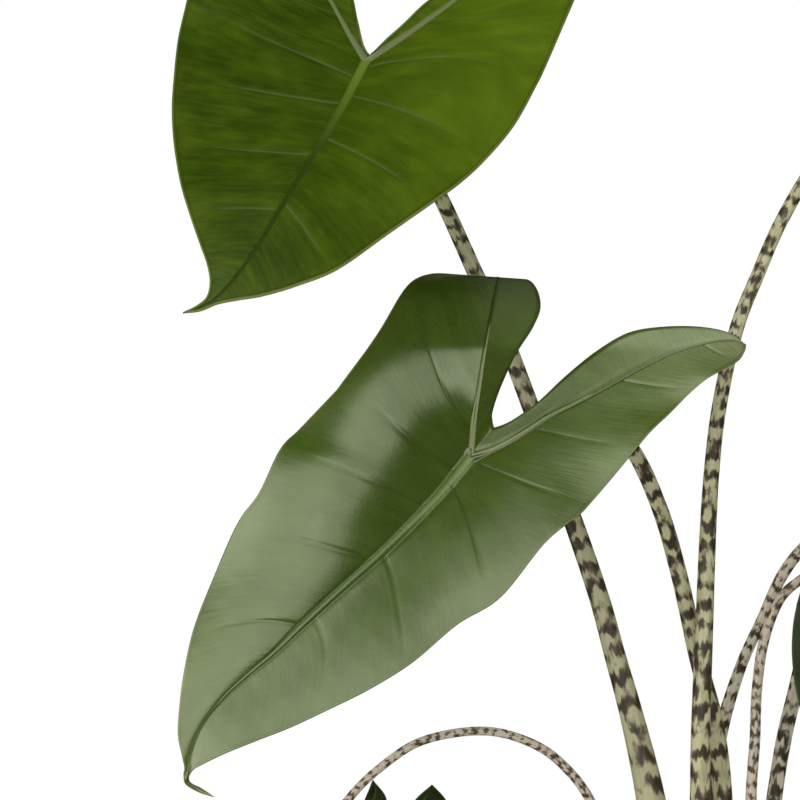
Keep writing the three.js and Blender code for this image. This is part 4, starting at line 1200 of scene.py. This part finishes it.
SOIL_SECTION = [(0, 3.4), (58.6, 3.4), (60.1, 6)]
SOIL_SECTION += [(60.1 + 18 * k / 6, 6 + 123 * k / 6) for k in range(1, 7)]
across = [SOIL_EDGE - SOIL_RUN * k / 15 for k in range(1, 15)]
SOIL_SECTION += [(r, soil_top(r)) for r in across]
SOIL_SECTION += [(39.4, 136.6), (39.3, 128), (39.3, 91.8), (0, 91.8)]


def soil_skin(name, dark, light, coarse):
    finish = new_finish(name, 0.9, 0.3, 1.4)
    where = place_in()
    crumb = cloudy(where, 260, 5, 0.7)
    colour = blend(between(crumb, 0.35, 0.7), dark, light)
    paint(blend(cloudy(where, 40, 3), colour, dark))
    relief(crumb, coarse, 0.9)
    return finish


earth = soil_skin("soil_earth", (0.012, 0.008, 0.005), (0.05, 0.033, 0.021), 0.0014)
bark_skin = soil_skin("soil_bark", (0.05, 0.024, 0.011), (0.13, 0.07, 0.035), 0.0007)
perlite_skin = soil_skin("soil_perlite", (0.42, 0.4, 0.36), (0.62, 0.6, 0.56), 0.0005)
bed = ring_of(SOIL_SECTION, 96, "soil")
LUMP, LUMP_HIGH, GRIT = 0.006, 0.0011, 0.0006
for vert in bed.verts:
    r = math.hypot(vert.co.x, vert.co.y) / MM
    if 40.5 < r < 78 and vert.co.z > 0.129:
        lump = math.sin(1.3 * vert.co.x / LUMP + 2 * math.sin(vert.co.y / LUMP))
        vert.co.z += LUMP_HIGH * lump + random.uniform(-GRIT, GRIT)
make_piece(bed, "soil_bed", [earth], "soil")


def scatter(name, finish, count, size, flat):
    """Seeded crumbs on the soil, each half sunk in it."""
    bm = bmesh.new()
    for _ in range(count):
        r, a = math.sqrt(random.uniform(41.5 ** 2, 76 ** 2)), random.uniform(0, 2 * math.pi)
        made = bmesh.ops.create_icosphere(bm, subdivisions=2, radius=1)["verts"]
        big = random.uniform(*size) * MM
        shape = Vector((big, big * random.uniform(0.6, 1), big * flat * random.uniform(0.7, 1.1)))
        turn, tip = random.uniform(0, math.pi), random.uniform(-0.4, 0.4)
        centre = Vector((r * math.cos(a), r * math.sin(a), soil_top(r))) * MM
        for vert in made:
            vert.co *= random.uniform(0.82, 1.12)
            co = Vector((vert.co.x * shape.x, vert.co.y * shape.y, vert.co.z * shape.z))
            x = co.x * math.cos(turn) - co.y * math.sin(turn)
            y = co.x * math.sin(turn) + co.y * math.cos(turn)
            vert.co = centre + Vector((x, y, co.z + tip * co.x))
    make_piece(bm, name, [finish], None)


scatter("soil_crumbs", earth, 620, (1.2, 3.2), 0.75)
scatter("soil_bark_chips", bark_skin, 110, (2.0, 5.0), 0.3)
scatter("soil_perlite_bits", perlite_skin, 90, (0.9, 1.9), 0.85)

# %% [markdown]
# ## Crown
#
# The stalks stand close together on a short corm, ringed by the scars of old leaves and
# wrapped in brown papery scales. It is spun, then its rings are broken up by noise in the
# finish.

# %% Crown
CROWN_SECTION = [(0, 92), (30, 92), (34, 98), (37, 104), (38.4, 112), (39, 118), (38.8, 124)]
for k in range(6):
    z = 126 + 1.4 * k
    CROWN_SECTION += [(38.9 - 0.25 * k, z), (38.0 - 0.3 * k, z + 0.7)]
CROWN_SECTION += [(35.5, 134.3), (33, 133.9), (30, 134.5), (26, 133.9), (22, 134.6), (17, 134.1),
                  (12, 134.6), (6, 134.3), (0, 134.5)]
finish = new_finish("crown_bark", 0.75, 0.4, 1.45)
where = place_in()
fibre = cloudy(stretch(where, (160, 160, 700)), 1.0, 4, 0.65)
blotch = cloudy(where, 60, 4)
colour = blend(between(fibre, 0.3, 0.7), (0.035, 0.02, 0.011), (0.14, 0.085, 0.045))
paint(blend(between(blotch, 0.5, 0.75), colour, (0.1, 0.1, 0.05)))
relief(fibre, 0.0012, 0.9)
make_piece(ring_of(CROWN_SECTION, 72, "crown"), "crown_corm", [finish], "rhizome")

# %% [markdown]
# ## Floor
#
# The pot stands on a pale plane. It ends behind the plant before the level camera, which
# looks over it, would see its edge.

# %% Floor
table = bmesh.new()
bmesh.ops.create_grid(table, x_segments=8, y_segments=8, size=2.4)
bmesh.ops.translate(table, verts=table.verts, vec=(0, 0.4, 0))
floor_mesh = bpy.data.meshes.new("floor")
table.to_mesh(floor_mesh)
table.free()
finish = new_finish("floor_paper", 0.8, 0.3, 1.4)
paper = cloudy(place_in(), 3, 3)
paint(blend(paper, (0.78, 0.78, 0.78), (0.82, 0.82, 0.82)))
floor_mesh.materials.append(finish)
floor = add_object("floor", floor_mesh)
floor.visible_glossy = False
print("floor laid")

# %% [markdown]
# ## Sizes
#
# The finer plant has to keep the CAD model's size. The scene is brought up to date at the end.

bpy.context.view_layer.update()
